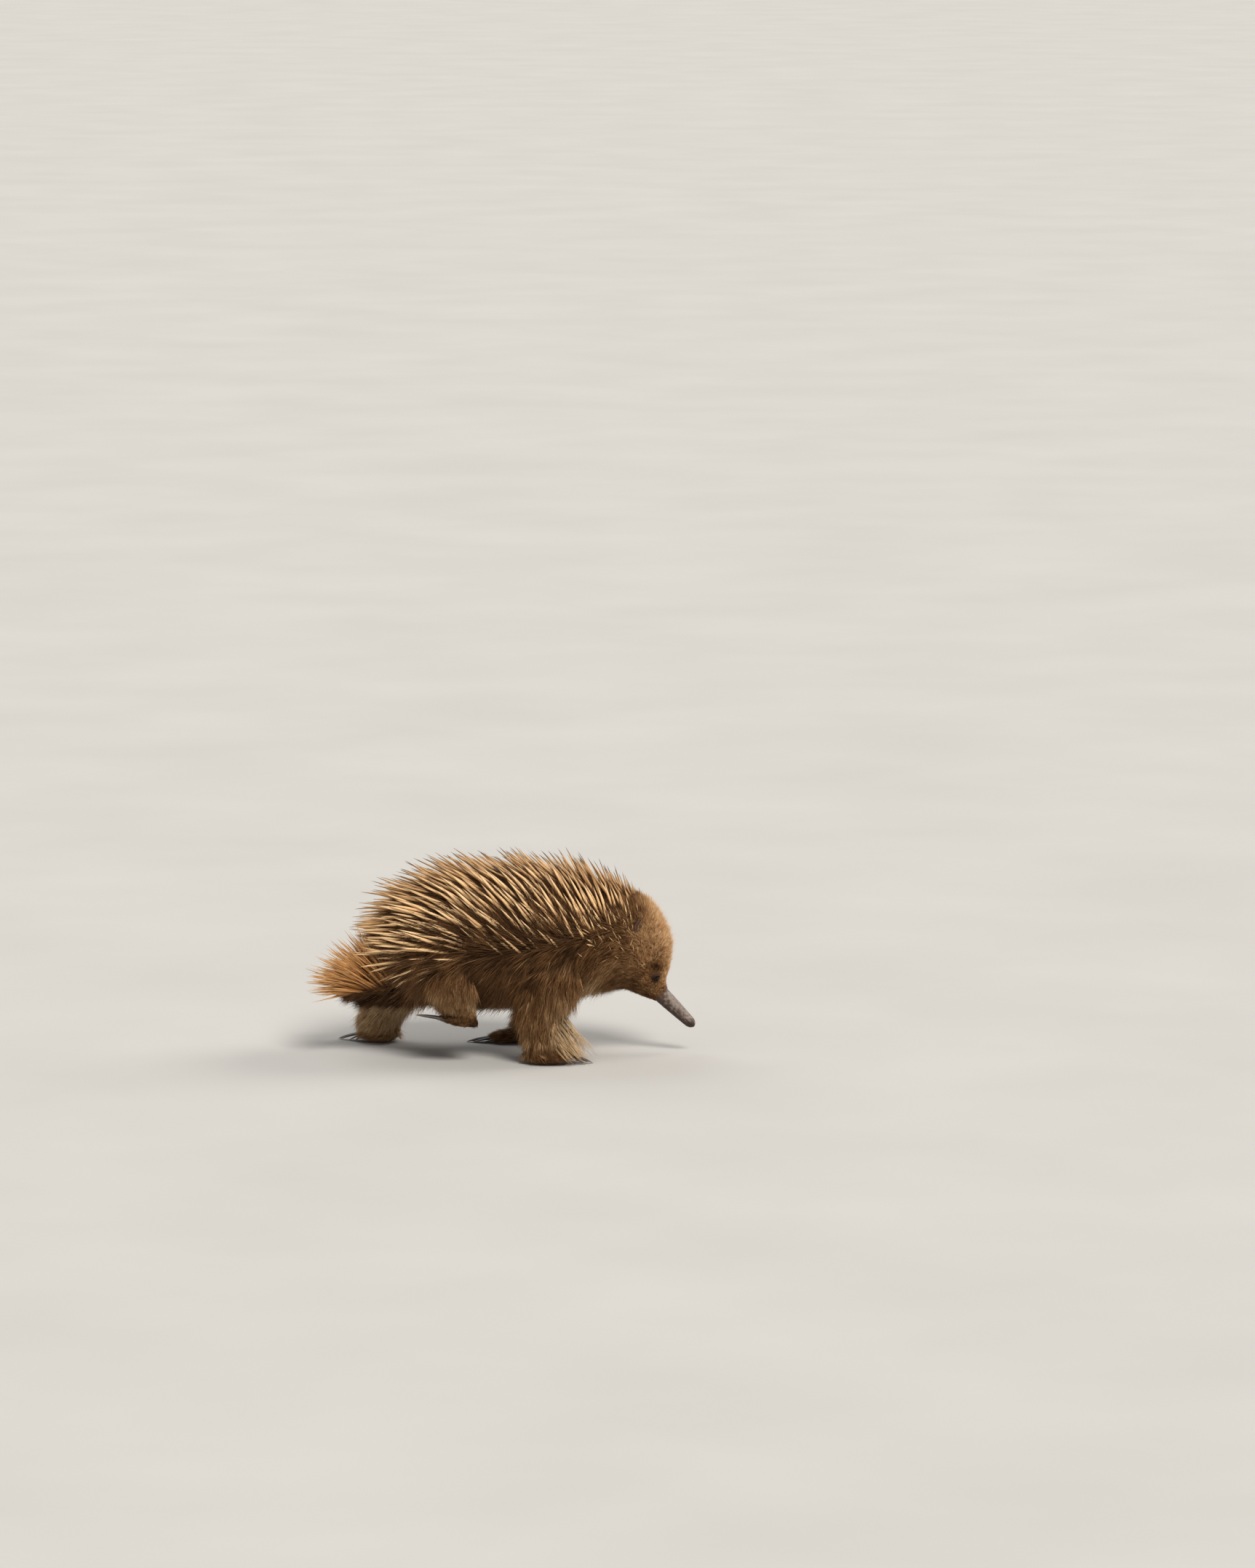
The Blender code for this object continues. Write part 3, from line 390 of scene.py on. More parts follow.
# The lie of the coat
# Hair grows back from the beak, down the flanks and the legs, and stands between the spines as they do.
# Guide points on the lofts carry its lie, length, stand and tone, and each point of the hide takes those of
# the nearest guide, evened out along the hide so that nothing changes at a seam.

# The spined mantle by x: how far down the flank it reaches, how much its spines stand at the top, slant up
# towards the back on the flank, and droop at its lowest edge, how long they show, and their radius
MANTLE = np.array((
    (-0.1260, 120.0, 34.0, 6.0, 30.0, 0.0400, 0.0018),
    (-0.0950, 114.0, 42.0, 16.0, 30.0, 0.0510, 0.0019),
    (-0.0500, 100.0, 42.0, 32.0, 18.0, 0.0515, 0.0020),
    (-0.0100, 95.0, 39.0, 42.0, 4.0, 0.0490, 0.0020),
    (0.0400, 92.0, 38.0, 48.0, 0.0, 0.0450, 0.0020),
    (0.0750, 87.0, 46.0, 54.0, 0.0, 0.0435, 0.0019),
    (0.1000, 80.0, 50.0, 54.0, 0.0, 0.0400, 0.0017),
    (0.1300, 60.0, 50.0, 50.0, 0.0, 0.0270, 0.0013),
    (0.1500, 44.0, 44.0, 44.0, 0.0, 0.0170, 0.0010),
))
SPINE_FLANK_LIFT = 18.0
RUMP_LIE = np.array([-1.0, 0.0, 0.12])
MANTLE_END = 7.5
MANTLE_EDGE = 5.0
EVENINGS = 34
# Length of the hair of the body, by degrees from the middle of the back, and of the head, by station
BODY_HAIR = (0, 70, 95, 135, 165, 180), (0.016, 0.019, 0.030, 0.030, 0.021, 0.016)
HEAD_HAIR = ((6.5, 7.6, 8.6, 9.3, 9.8, 10.3, 11.0),
             (0.0125, 0.0110, 0.0095, 0.0062, 0.0042, 0.0030, 0.0024))
# How the hair stands, in degrees: between spines, on flank and head, and how much more on crown and throat
MANTLE_STAND, FLANK_STAND, HEAD_STAND, CROWN_STANDS, THROAT_STANDS = 34.0, 15.0, 25.0, 26.0, 24.0
# How pale it is, from 0 to 1: between spines, on flank and head, and how much paler or darker elsewhere
MANTLE_PALE, FLANK_PALE, HEAD_PALE = 0.21, 0.34, 0.56
BELLY_PALER, CHEST_PALER, CROWN_PALER, BEAK_ROOT_DARKER = 0.08, 0.85, 0.19, 0.16
BARE_FROM, BARE_AT = 10.05, 10.80
# Each limb's coat: how far it leans back, how much it flares at the foot, how much paler its front is as
# painted light, and its lengths and tones by station
LIMB_COAT_STATIONS = (0.0, 1.5, 2.4, 3.2, 4.0)
LONG_COAT, FORELEG_TONES = (0.026, 0.025, 0.021, 0.018, 0.014), (0.42, 0.50, 0.57, 0.64, 0.66)
LIMB_COATS = {
    "foreleg_right": (-0.16, 13.0, 0.46, LONG_COAT, FORELEG_TONES),
    "foreleg_left": (-0.20, 13.0, 0.46, LONG_COAT, FORELEG_TONES),
    "hindleg_right": (-0.45, 4.0, 0.12, (0.025, 0.018, 0.010, 0.006, 0.004), (0.54, 0.66, 0.68, 0.66, 0.62)),
    # The far hind leg's tones are paler than the near one's: painted light against the shade the body puts
    # on it
    "hindleg_left": (-0.50, 13.0, 0.12, LONG_COAT, (0.82, 0.94, 0.96, 0.94, 0.90)),
}
# Each paw's coat: how long against the others, how thick on top, how pale
PAW_COATS = {
    # The near forepaw is darker than the far one: painted shade
    "forepaw_right": (1.0, 1.0, 0.32),
    "forepaw_left": (1.0, 1.0, 0.48),
    "hindpaw_right": (0.36, 0.45, 0.24),
    "hindpaw_left": (1.0, 1.0, 0.56),
}
PAW_HAIR, PAW_STAND = ((0.0, 0.5, 1.0), (0.0120, 0.0110, 0.0075)), 20.0
TAIL_HAIR, TAIL_STAND, TAIL_PALE, TAIL_UNDER_PALE = 0.022, 20.0, 0.38, 0.05
# Each region's rectangle on the unwrap of the hide: left, bottom, width, height
UNWRAP = {
    "body": (0.02, 0.02, 0.56, 0.96),
    "foreleg_right": (0.61, 0.02, 0.17, 0.28),
    "foreleg_left": (0.80, 0.02, 0.17, 0.28),
    "hindleg_right": (0.61, 0.32, 0.17, 0.28),
    "hindleg_left": (0.80, 0.32, 0.17, 0.28),
    "forepaw_right": (0.61, 0.62, 0.17, 0.11),
    "forepaw_left": (0.80, 0.62, 0.17, 0.11),
    "hindpaw_right": (0.61, 0.75, 0.17, 0.11),
    "hindpaw_left": (0.80, 0.75, 0.17, 0.11),
    "tail": (0.61, 0.88, 0.36, 0.10),
}
REGIONS = list(UNWRAP)


def mantle_sizes(x):
    """The mantle's listed sizes at places x, straight between its rows."""
    return [np.interp(x, MANTLE[:, 0], MANTLE[:, k]) for k in range(1, MANTLE.shape[1])]


def ripple(points, size, seed):
    """A smooth random value about 0, mostly within 1: waves of one length in twelve directions, added."""
    rng = np.random.default_rng(seed)
    ways = unit(rng.normal(size=(12, 3))) * 2 * np.pi / size
    return np.sin(points @ ways.T + rng.uniform(0, 2 * np.pi, 12)).mean(-1) * 2.2


def surface_frame(surface, t, angle):
    """Points, their steps along and round per unit of station and angle, and outward normals."""
    small = 0.01
    here = surface(t, angle)
    along = (surface(t + small, angle) - surface(t - small, angle)) / (2 * small)
    around = (surface(t, angle + small) - surface(t, angle - small)) / (2 * small)
    normal = unit(np.cross(along, around))
    outward = here - surface(t, angle + np.pi)
    return here, along, around, normal * np.sign((normal * outward).sum(-1, keepdims=True))


def body_lie(t, along, normal):
    """The backward lie of the coat, level over the rump, and the direction up the flank."""
    lie = unit(mixed(RUMP_LIE, unit(-along), rump_share(t)[..., None]))
    up = unit(np.cross(normal, unit(-along)))
    return lie, up * np.where(up[..., 2:] < 0, -1.0, 1.0)


def spine_slant(x, turned):
    """How much a spine slants up the flank, in radians: more down the side, and drooping low on the rump."""
    _, _, slant, droop, _, _ = mantle_sizes(x)
    low = fade(turned, 78.0, 110.0) * fade(x, 0.0, -0.06)
    return np.radians(slant * fade(turned, 0.0, 55.0) * (1 - low) - droop * low)


def guide_rows(t, angle, steps, way, *coat):
    """A row for each guide point: station, angle, place, steps along and round, way, and its coat.

    The coat is its length, stand in degrees, paleness, thickness, and how far it is hair between spines.
    """
    return np.column_stack([t, angle, *steps, way, *(np.broadcast_to(size, t.shape) for size in coat)])


def body_guides():
    """The coat of the body: mantle, flank, belly, neck and head, each faded into the next."""
    t, angle = (v.ravel() for v in grid(0.06, 10.9, 190, 80))
    here, along, around, normal = surface_frame(body_surface, t, angle)
    lie, up = body_lie(t, along, normal)
    turned = np.degrees(np.abs(angle))
    limit = mantle_sizes(here[:, 0])[0]
    spined = fade(turned, limit + MANTLE_EDGE, limit - MANTLE_EDGE)
    spined = spined * fade(t, MANTLE_END + 0.2, MANTLE_END - 0.3)
    hanging = fade(turned, 60.0, 100.0) * fade(turned, 168.0, 138.0) * fade(t, 7.6, 6.0)
    below = unit(lie * 0.8 - up * (0.85 * hanging)[:, None])
    way = unit(mixed(below, oval(lie, up, spine_slant(here[:, 0], turned)), spined[:, None]))
    head, crown = fade(t, 6.3, 7.3), fade(turned, 95.0, 40.0)
    throat = fade(turned, 125.0, 160.0) * fade(t, 9.6, 8.4)
    chest = fade(turned, 100.0, 140.0) * fade(t, 4.4, 5.4)
    body_length = np.interp(turned, *BODY_HAIR) * (1 + 0.25 * chest)
    body_length = body_length * (1 - 0.30 * spined * fade(t, 4.3, 5.7))
    head_length = np.interp(t, *HEAD_HAIR) * (0.85 + 0.30 * crown + 0.45 * throat)
    head_stand = HEAD_STAND + CROWN_STANDS * crown + THROAT_STANDS * throat
    stand = mixed(mixed(FLANK_STAND, MANTLE_STAND, spined), head_stand, head)
    stand = stand * (1 - 0.45 * fade(t, 9.2, 10.2))
    flank_pale = FLANK_PALE + BELLY_PALER * fade(turned, 120.0, 150.0) + CHEST_PALER * chest
    head_pale = HEAD_PALE - BEAK_ROOT_DARKER * fade(t, 10.0, 10.6)
    pale = mixed(mixed(flank_pale, MANTLE_PALE, spined), head_pale, head)
    # The crown and the top of the neck are paler, partly as painted light from above
    pale = pale + CROWN_PALER * fade(turned, 76.0, 24.0) * fade(t, 5.7, 7.4)
    ragged = 0.45 * turned / 180.0 + 0.25 * ripple(here, 0.006, 9)
    thick = 1 - fade(t - ragged, BARE_FROM, BARE_AT)
    length = mixed(body_length, head_length, head)
    return guide_rows(t, angle, (here, along, around), way, length, stand, pale, thick, spined)


def limb_guides(name):
    """The coat of a limb: it lies down and back, shorter and paler towards the paw."""
    t, angle = (v.ravel() for v in grid(0.3, 3.95, 46, 44))
    here, along, around, _ = surface_frame(lambda a, b: limb_surface(LIMBS[name], a, b), t, angle)
    lean, flare, lit, lengths, tones = LIMB_COATS[name]
    way = unit(unit(along) + AHEAD * (lean * (0.5 + fade(t, 1.8, 3.4)))[:, None] - 0.15 * UP)
    stand = 16.0 + flare * fade(t, 1.8, 3.2)
    down = fade(t, 0.3, 1.9) if name.startswith("fore") else 1.0
    # A limb's front is made paler by lit: painted light from the front
    pale = np.interp(t, LIMB_COAT_STATIONS, tones) + lit * down * fade(np.cos(angle), 0.2, 0.9)
    length = np.interp(t, LIMB_COAT_STATIONS, lengths)
    return guide_rows(t, angle, (here, along, around), way, length, stand, pale, 1.0, 0.0)


def paw_guides(name):
    """The coat of a paw: short, towards the toes, and none under the sole."""
    t, angle = (v.ravel() for v in grid(0.05, 0.96, 22, 32))
    here, along, around, _ = surface_frame(lambda a, b: paw_surface(name, a, b), t, angle)
    _, ahead, side, up = paw_axes(name)
    way = unit(ahead + side * (0.5 * np.cos(angle))[:, None] - up * 0.25)
    longer, thicker, pale = PAW_COATS[name]
    thick = thicker * fade(np.sin(angle), -0.55, -0.3)
    length = np.interp(t, *PAW_HAIR) * longer
    return guide_rows(t, angle, (here, along, around), way, length, PAW_STAND, pale, thick, 0.0)


def tail_guides():
    """The coat of the tail: long, swept back, and darker beneath as painted shade."""
    t, angle = (v.ravel() for v in grid(0.4, 2.93, 24, 40))
    here, along, around, _ = surface_frame(tail_surface, t, angle)
    under = fade(np.degrees(np.abs(angle)), 75.0, 115.0)
    way = unit(np.stack([0 * t - 1.0, 0.35 * np.sin(angle), 0.1 - 0.75 * under], -1))
    # The tail's underside is darkened: painted shade
    pale = mixed(TAIL_PALE, TAIL_UNDER_PALE, under)
    spined = 0.6 * (1 - under)
    return guide_rows(t, angle, (here, along, around), way, TAIL_HAIR, TAIL_STAND, pale, 1.0, spined)


guide_sets = [body_guides(), *map(limb_guides, LIMBS), *map(paw_guides, PAWS), tail_guides()]
guides = np.concatenate(guide_sets)
guide_t, guide_angle, guide_coat = guides[:, 0], guides[:, 1], guides[:, 11:]
guide_here, guide_along, guide_around = guides[:, 2:5], guides[:, 5:8], guides[:, 8:11]
guide_region = np.repeat(np.arange(len(REGIONS)), [len(rows) for rows in guide_sets])


def nearest(points, targets, rows=2500):
    """For each point the number of the nearest target, from squared lengths less twice the dot product."""
    points, targets = np.asarray(points, np.float32), np.asarray(targets, np.float32)
    squares = (targets**2).sum(-1)
    blocks = [points[k:k + rows] for k in range(0, len(points), rows)]
    return np.concatenate([(squares - 2 * block @ targets.T).argmin(-1) for block in blocks])


hide_guide = nearest(hide_points, guide_here)
hide_edges = read_all(hide.data.edges, "vertices", 2, np.int32)
hide_normals = read_all(hide.data.vertices, "normal", 3).astype(float)


def evened(values, times):
    """Values of the hide's points, each mixed half and half with its neighbours' mean, several times."""
    joins = np.bincount(hide_edges.ravel(), minlength=len(values))[:, None]
    first, second = hide_edges.T
    for _ in range(times):
        total = np.stack([np.bincount(first, column[second], len(values))
                          + np.bincount(second, column[first], len(values)) for column in values.T], -1)
        values = mixed(values, total / np.maximum(joins, 1), 0.5)
    return values


hide_fields = evened(guide_coat[hide_guide], EVENINGS)
hide_way = hide_fields[:, :3]
hide_way = unit(hide_way - hide_normals * (hide_way * hide_normals).sum(-1, keepdims=True))
hide_length, hide_stand, hide_pale, hide_thick, hide_spined = hide_fields[:, 3:].T.copy()


def frame_at(station, angle):
    """The body's surface frame at one place, whose outward direction is the last of its four."""
    return (v[0] for v in surface_frame(body_surface, np.array([station]), np.array([angle])))


def eye_frame(side):
    """Centre of the lids' plane on the solid head, and its outward, backward and upward directions."""
    here, along, _, normal = frame_at(EYE_STATION, side * EYE_ANGLE)
    back = unit(-along)
    up = np.cross(normal, back)
    return here, normal, back, up * np.sign(up[2])


# Bare round the lids, short and dark about them, one crease above with shorter hair and painted shade: half
# sizes, height over the eye
EYE_BARE, EYE_BARE_EDGE, EYE_REACH = 0.0042, 0.0015, 0.025
EYE_PATCH, EYE_PATCH_RISE = (0.0078, 0.0115), 0.0036
EYE_CREASE_SHADE, EYE_CREASE_SHADE_RISE = (0.0042, 0.0026), 0.0090
for side in (-1, 1):
    centre, normal, _, _ = eye_frame(side)
    high = unit(UP - normal * normal[2])
    level = np.cross(normal, high)
    off = hide_points - centre
    near = np.linalg.norm(off, axis=-1)
    over, beside = off @ high, off @ level
    patch = (beside / EYE_PATCH[0]) ** 2 + ((over - EYE_PATCH_RISE) / EYE_PATCH[1]) ** 2
    crease_shade = (beside / EYE_CREASE_SHADE[0]) ** 2 + ((over - EYE_CREASE_SHADE_RISE) / EYE_CREASE_SHADE[1]) ** 2
    by_eye = near < EYE_REACH
    hide_length *= np.clip((near - 0.001) / 0.013, 0.34, 1.0)
    hide_length *= 1 - 0.4 * np.exp(-crease_shade) * by_eye
    hide_thick *= fade(near, EYE_BARE, EYE_BARE + EYE_BARE_EDGE)
    # The crease above each eye is darkened as painted shade under the brow fold; the patch about the eye is
    # its dark fur
    hide_pale -= (0.28 * np.exp(-patch**2) + 0.34 * np.exp(-crease_shade)) * by_eye
FAR_OFF = 99.0
off_ear = ear_off(guide_t[hide_guide], guide_angle[hide_guide])
off_ear = np.where(guide_region[hide_guide] == REGIONS.index("body"), off_ear, FAR_OFF)
hide_thick *= fade(off_ear, 0.3, 0.8)
hide_length *= 1 - 0.30 * np.exp(-off_ear / 4.0)
# About each ear the coat is darkened: painted shade in the hollow where the ear opens
hide_pale -= 0.24 * np.exp(-off_ear / 5.0)
hide_pale += 0.07 * ripple(hide_points, 0.030, 3) + 0.05 * ripple(hide_points, 0.011, 4)
hide_pale = np.clip(hide_pale, 0.03, 1.0)
hide_tone = hide_pale - 0.30 * (1 - hide_thick)
mark(hide, "pale", np.clip(hide_tone, 0.03, 1.0))

# Brown coat colours from the darkest to the palest
COAT_TONES = (
    (0.00, (0.022, 0.008, 0.003)),
    (0.25, (0.110, 0.046, 0.014)),
    (0.50, (0.255, 0.122, 0.046)),
    (0.75, (0.490, 0.275, 0.122)),
    (1.00, (0.800, 0.560, 0.320)),
)


def new_finish(name, roughness, specular):
    """A material and the parts of it that are wired later: its node tree and its shader."""
    material = bpy.data.materials.new(name)
    material.use_nodes = True
    shader = material.node_tree.nodes["Principled BSDF"]
    shader.inputs["Roughness"].default_value = roughness
    shader.inputs["Specular IOR Level"].default_value = specular
    return material, material.node_tree, shader


def add_node(tree, kind, **settings):
    """A node of the given kind, with its listed settings."""
    made = tree.nodes.new(kind)
    for name, value in settings.items():
        setattr(made, name, value)
    return made


def feed(tree, value, target):
    """Gives an input a number or a colour, or else the output of another node."""
    if isinstance(value, bpy.types.NodeSocket):
        tree.links.new(value, target)
    else:
        target.default_value = value


def stored(tree, name):
    """The number that the mesh stores at each point under a name."""
    return add_node(tree, "ShaderNodeAttribute", attribute_name=name).outputs["Fac"]


def place_of(tree):
    """The place on the object in metres."""
    return add_node(tree, "ShaderNodeTexCoord").outputs["Object"]


def ramp_of(tree, source, stops):
    """A colour ramp with the listed stops, fed by the source."""
    made = add_node(tree, "ShaderNodeValToRGB")
    elements = made.color_ramp.elements
    while len(elements) < len(stops):
        elements.new(0.5)
    for element, (place, colour) in zip(elements, stops):
        element.position = place
        element.color = (*colour, 1.0)
    feed(tree, source, made.inputs["Fac"])
    return made.outputs["Color"]


def greys_of(tree, source, *stops):
    """A ramp of greys, each given as its place and how light it is."""
    return ramp_of(tree, source, [(place, (light,) * 3) for place, light in stops])


def math_of(tree, operation, first, second):
    """One sum or product of two values, each a socket or a number."""
    made = add_node(tree, "ShaderNodeMath", operation=operation)
    feed(tree, first, made.inputs[0])
    feed(tree, second, made.inputs[1])
    return made.outputs[0]


def varied(tree, value, noise, amount):
    """A value that noise moves up and down: the value, and the amount times the noise less a half."""
    centred = math_of(tree, "SUBTRACT", noise, 0.5)
    return math_of(tree, "ADD", value, math_of(tree, "MULTIPLY", centred, amount))


def colours_of(tree, factor, first, second, blend="MIX"):
    """Two colours blended by a factor, each of the three a socket or a value."""
    made = add_node(tree, "ShaderNodeMix", data_type="RGBA", blend_type=blend)
    for value, name in ((factor, "Factor"), (first, "A"), (second, "B")):
        feed(tree, value, made.inputs[name])
    return made.outputs["Result"]


def shaded(tree, colour, share):
    """A colour times a grey value, each a socket."""
    return colours_of(tree, 1.0, colour, share, "MULTIPLY")


def noise_of(tree, vector, scale, detail=3.0):
    """Noise of a given scale read at a vector."""
    made = add_node(tree, "ShaderNodeTexNoise")
    for value, name in ((vector, "Vector"), (scale, "Scale"), (detail, "Detail")):
        feed(tree, value, made.inputs[name])
    return made.outputs["Fac"]


def bump_of(tree, height, distance, shader):
    """A bump of the given depth in metres from a height between 0 and 1."""
    made = add_node(tree, "ShaderNodeBump")
    made.inputs["Distance"].default_value = distance
    made.inputs["Strength"].default_value = 1.0
    feed(tree, height, made.inputs["Height"])
    feed(tree, made.outputs["Normal"], shader.inputs["Normal"])


def hide_finish():
    """Brown hide with a nap of the shortest hair: the coat's tones, darker as painted shade between the
    hairs, with fine noise.
    """
    material, tree, shader = new_finish("hide", 0.85, 0.2)
    grain = noise_of(tree, place_of(tree), 900.0)
    colour = ramp_of(tree, stored(tree, "pale"), COAT_TONES)
    # The hide is darkened to between a fifth and three fifths of the coat's tones: painted shade between the
    # hairs
    colour = shaded(tree, colour, greys_of(tree, grain, (0.3, 0.20), (0.75, 0.60)))
    feed(tree, colour, shader.inputs["Base Color"])
    bump_of(tree, grain, 0.0006, shader)
    return material


hide.data.materials.clear()
dress(hide, hide_finish(), "coat", *[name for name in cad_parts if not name.startswith("eye")])

# The beak
# A blunt snout of bone sheathed in bare leathery skin, grey above and reddish brown beneath and at the tip;
# the paler top is partly painted highlight and the darker underside partly painted shade.
# It grows out of the face, whose short fur covers its root, and holds two nostrils and a slit of a mouth.
BEAK_LENGTH, BEAK_PITCH = 0.0475, np.radians(-44.5)
BEAK_ROOT_HALF, BEAK_TIP_HALF = np.array([0.0088, 0.0091]), np.array([0.0053, 0.0058])
BEAK_FROM, BEAK_TAPER, BEAK_ROUNDED_FROM = 10.15, 1.2, 0.84
BEAK_BEHIND = 0.0098
NOSTRIL_PLACE, NOSTRIL_ANGLE = 0.912, np.radians(28.0)
NOSTRIL_WIDE, NOSTRIL_DEEP, NOSTRIL_LONG = 0.00095, 0.0015, 1.7
MOUTH_FROM, MOUTH_FULL, MOUTH_ANGLE = 0.70, 0.78, np.radians(101.0)
MOUTH_WIDE, MOUTH_DEEP = 0.00035, 0.0007
WRINKLE_DEEP, WRINKLE_STEP = 0.00010, 0.0011
FACE_DEPTHS = ((10.15, 10.5, 10.75, 11.0), (0.0034, 0.0024, 0.0011, 0.0008))


def beak_surface(s, angle):
    """Points of the beak. From -1 they follow the face, and fade near the root into a cone with a round tip.

    Nostrils are bells pressed into the cone, and the mouth is a bell-shaped groove along each side.
    """
    t = BEAK_ROOT + s * (BEAK_ROOT - BEAK_FROM)
    uneven = 0.0005 * np.sin(5 * angle + 1.0) + 0.0004 * np.sin(11 * angle)
    sunk = np.interp(t, *FACE_DEPTHS) + uneven * fade(s, 0.0, -0.3)
    face = body_surface(np.minimum(t, BEAK_ROOT), angle, sunk)
    share = np.clip(s, 0.0, 1.0)
    taper = share**BEAK_TAPER
    over = np.clip((share - BEAK_ROUNDED_FROM) / (1 - BEAK_ROUNDED_FROM), 0.0, 1.0)
    rounding = np.sqrt(np.maximum(1 - over**2, 0.0))
    halves = [(root + (tip - root) * taper) * rounding for root, tip in zip(BEAK_ROOT_HALF, BEAK_TIP_HALF)]
    mean = (halves[0] + halves[1]) / 2
    dip = np.zeros_like(share)
    for side in (-1, 1):
        along = (share - NOSTRIL_PLACE) * BEAK_LENGTH / NOSTRIL_LONG
        around = (angle - side * NOSTRIL_ANGLE) * mean
        dip += NOSTRIL_DEEP * np.exp(-(along**2 + around**2) / NOSTRIL_WIDE**2)
        around = (angle - side * MOUTH_ANGLE) * mean
        dip += MOUTH_DEEP * np.exp(-(around / MOUTH_WIDE) ** 2) * fade(share, MOUTH_FROM, MOUTH_FULL)
    waves = np.sin(share * BEAK_LENGTH / WRINKLE_STEP + 1.2 * np.sin(3 * angle))
    dip -= WRINKLE_DEEP * waves * fade(share, 0.5, 0.0)
    ahead, lift = oval(AHEAD, UP, BEAK_PITCH), oval(UP, -AHEAD, BEAK_PITCH)
    x, z = through(BODY, np.array(BEAK_ROOT))[:2]
    run = share * BEAK_LENGTH + np.minimum(s, 0.0) * BEAK_BEHIND
    middle = np.array([x, 0.0, z]) + ahead * run[..., None]
    cone = middle + oval(lift, np.cross(lift, ahead), angle, halves[0] - dip, halves[1] - dip)
    return mixed(face, cone, fade(s, -0.6, 0.25)[..., None])


def beak_finish():
    """Bare skin: grey above, partly painted highlight, reddish brown beneath, partly painted shade, and at
    the tip; finely pitted and creased.
    """
    material, tree, shader = new_finish("beak_skin", 0.5, 0.4)
    place = place_of(tree)
    broad = noise_of(tree, place, 330.0, 5.0)
    skin = ramp_of(tree, varied(tree, stored(tree, "top"), broad, 1.7), (
        (0.05, (0.030, 0.014, 0.010)), (0.45, (0.078, 0.048, 0.036)), (0.95, (0.240, 0.192, 0.160))))
    edge = varied(tree, stored(tree, "bare"), broad, 2.0)
    colour = colours_of(tree, edge, (0.075, 0.034, 0.015, 1.0), skin)
    pits = add_node(tree, "ShaderNodeTexVoronoi")
    pits.inputs["Scale"].default_value = 1500.0
    feed(tree, place, pits.inputs["Vector"])
    grain = math_of(tree, "ADD", pits.outputs["Distance"], noise_of(tree, place, 600.0))
    colour = shaded(tree, colour, greys_of(tree, grain, (0.35, 0.55), (1.1, 1.0)))
    feed(tree, colour, shader.inputs["Base Color"])
    bump_of(tree, grain, 0.00025, shader)
    return material


s, angle = grid(-1.0, 1.0, 190, 96)
s = np.sign(s) * np.abs(s) ** 0.8
beak = mesh_object("beak_skin", *closed_loft(beak_surface(s, angle)))
# Paler on top, partly as painted highlight, darker beneath, partly as painted shade, and darker at the tip
top = np.cos(angle - 0.35 * np.sign(angle)) * 0.52 + 0.40 - 0.5 * fade(s, 0.72, 0.98)
bare = 1.3 * fade(s, -0.45, 0.3) - 0.15
mark(beak, "top", np.append(top, [0.5, 0.0]))
mark(beak, "bare", np.append(bare, [0.0, 1.0]))
dress(beak, beak_finish(), "beak_skin", "beak")

# The eyes and their lids
# Each eye is a small wet ball, brown round a black pupil, set deep in a mound of bare wrinkled skin.
# The upper and lower lids are folds of that skin, which meet in a corner before and behind the ball.
EYE_RADIUS, EYE_BEHIND = 0.0043, 0.0035
OPENING_HALF, LIDS_HALF = (0.0031, 0.0032), (0.0055, 0.0053)
LID_HIGH, LID_SUNK, LID_ROLL = 0.0031, 0.0035, 0.0003
LID_BROW, BROW_TURN, BROW_DROOP = 0.0009, np.radians(25.0), 0.14
CREASE_DEEP, RIM_TUCKED, EDGE_TUCKED = 0.00036, 0.86, 0.45
# The animal's right is -Y
SIDES = ((-1, "right"), (1, "left"))


def eye_finish():
    """A wet ball, black in the middle and dark brown about it, under a clear coat."""
    material, tree, shader = new_finish("eye", 0.14, 0.08)
    colour = ramp_of(tree, stored(tree, "polar"), (
        (0.38, (0.002, 0.002, 0.002)), (0.44, (0.022, 0.010, 0.005)), (0.62, (0.012, 0.006, 0.004)),
        (0.70, (0.004, 0.003, 0.002))))
    feed(tree, colour, shader.inputs["Base Color"])
    shader.inputs["Coat Weight"].default_value = 0.15
    shader.inputs["Coat Roughness"].default_value = 0.04
    return material


def lid_finish():
    """Bare dark skin round the eye, creased in rings, with a nap of fine noise."""
    material, tree, shader = new_finish("lid_skin", 0.65, 0.15)
    grain = noise_of(tree, place_of(tree), 1100.0)
    colour = ramp_of(tree, varied(tree, stored(tree, "ring"), grain, 0.5), (
        (0.30, (0.055, 0.026, 0.014)), (0.52, (0.018, 0.009, 0.005)), (0.68, (0.052, 0.026, 0.016)),
        (0.86, (0.014, 0.007, 0.005)), (1.05, (0.006, 0.004, 0.003))))
    feed(tree, colour, shader.inputs["Base Color"])
    bump_of(tree, grain, 0.0003, shader)
    return material


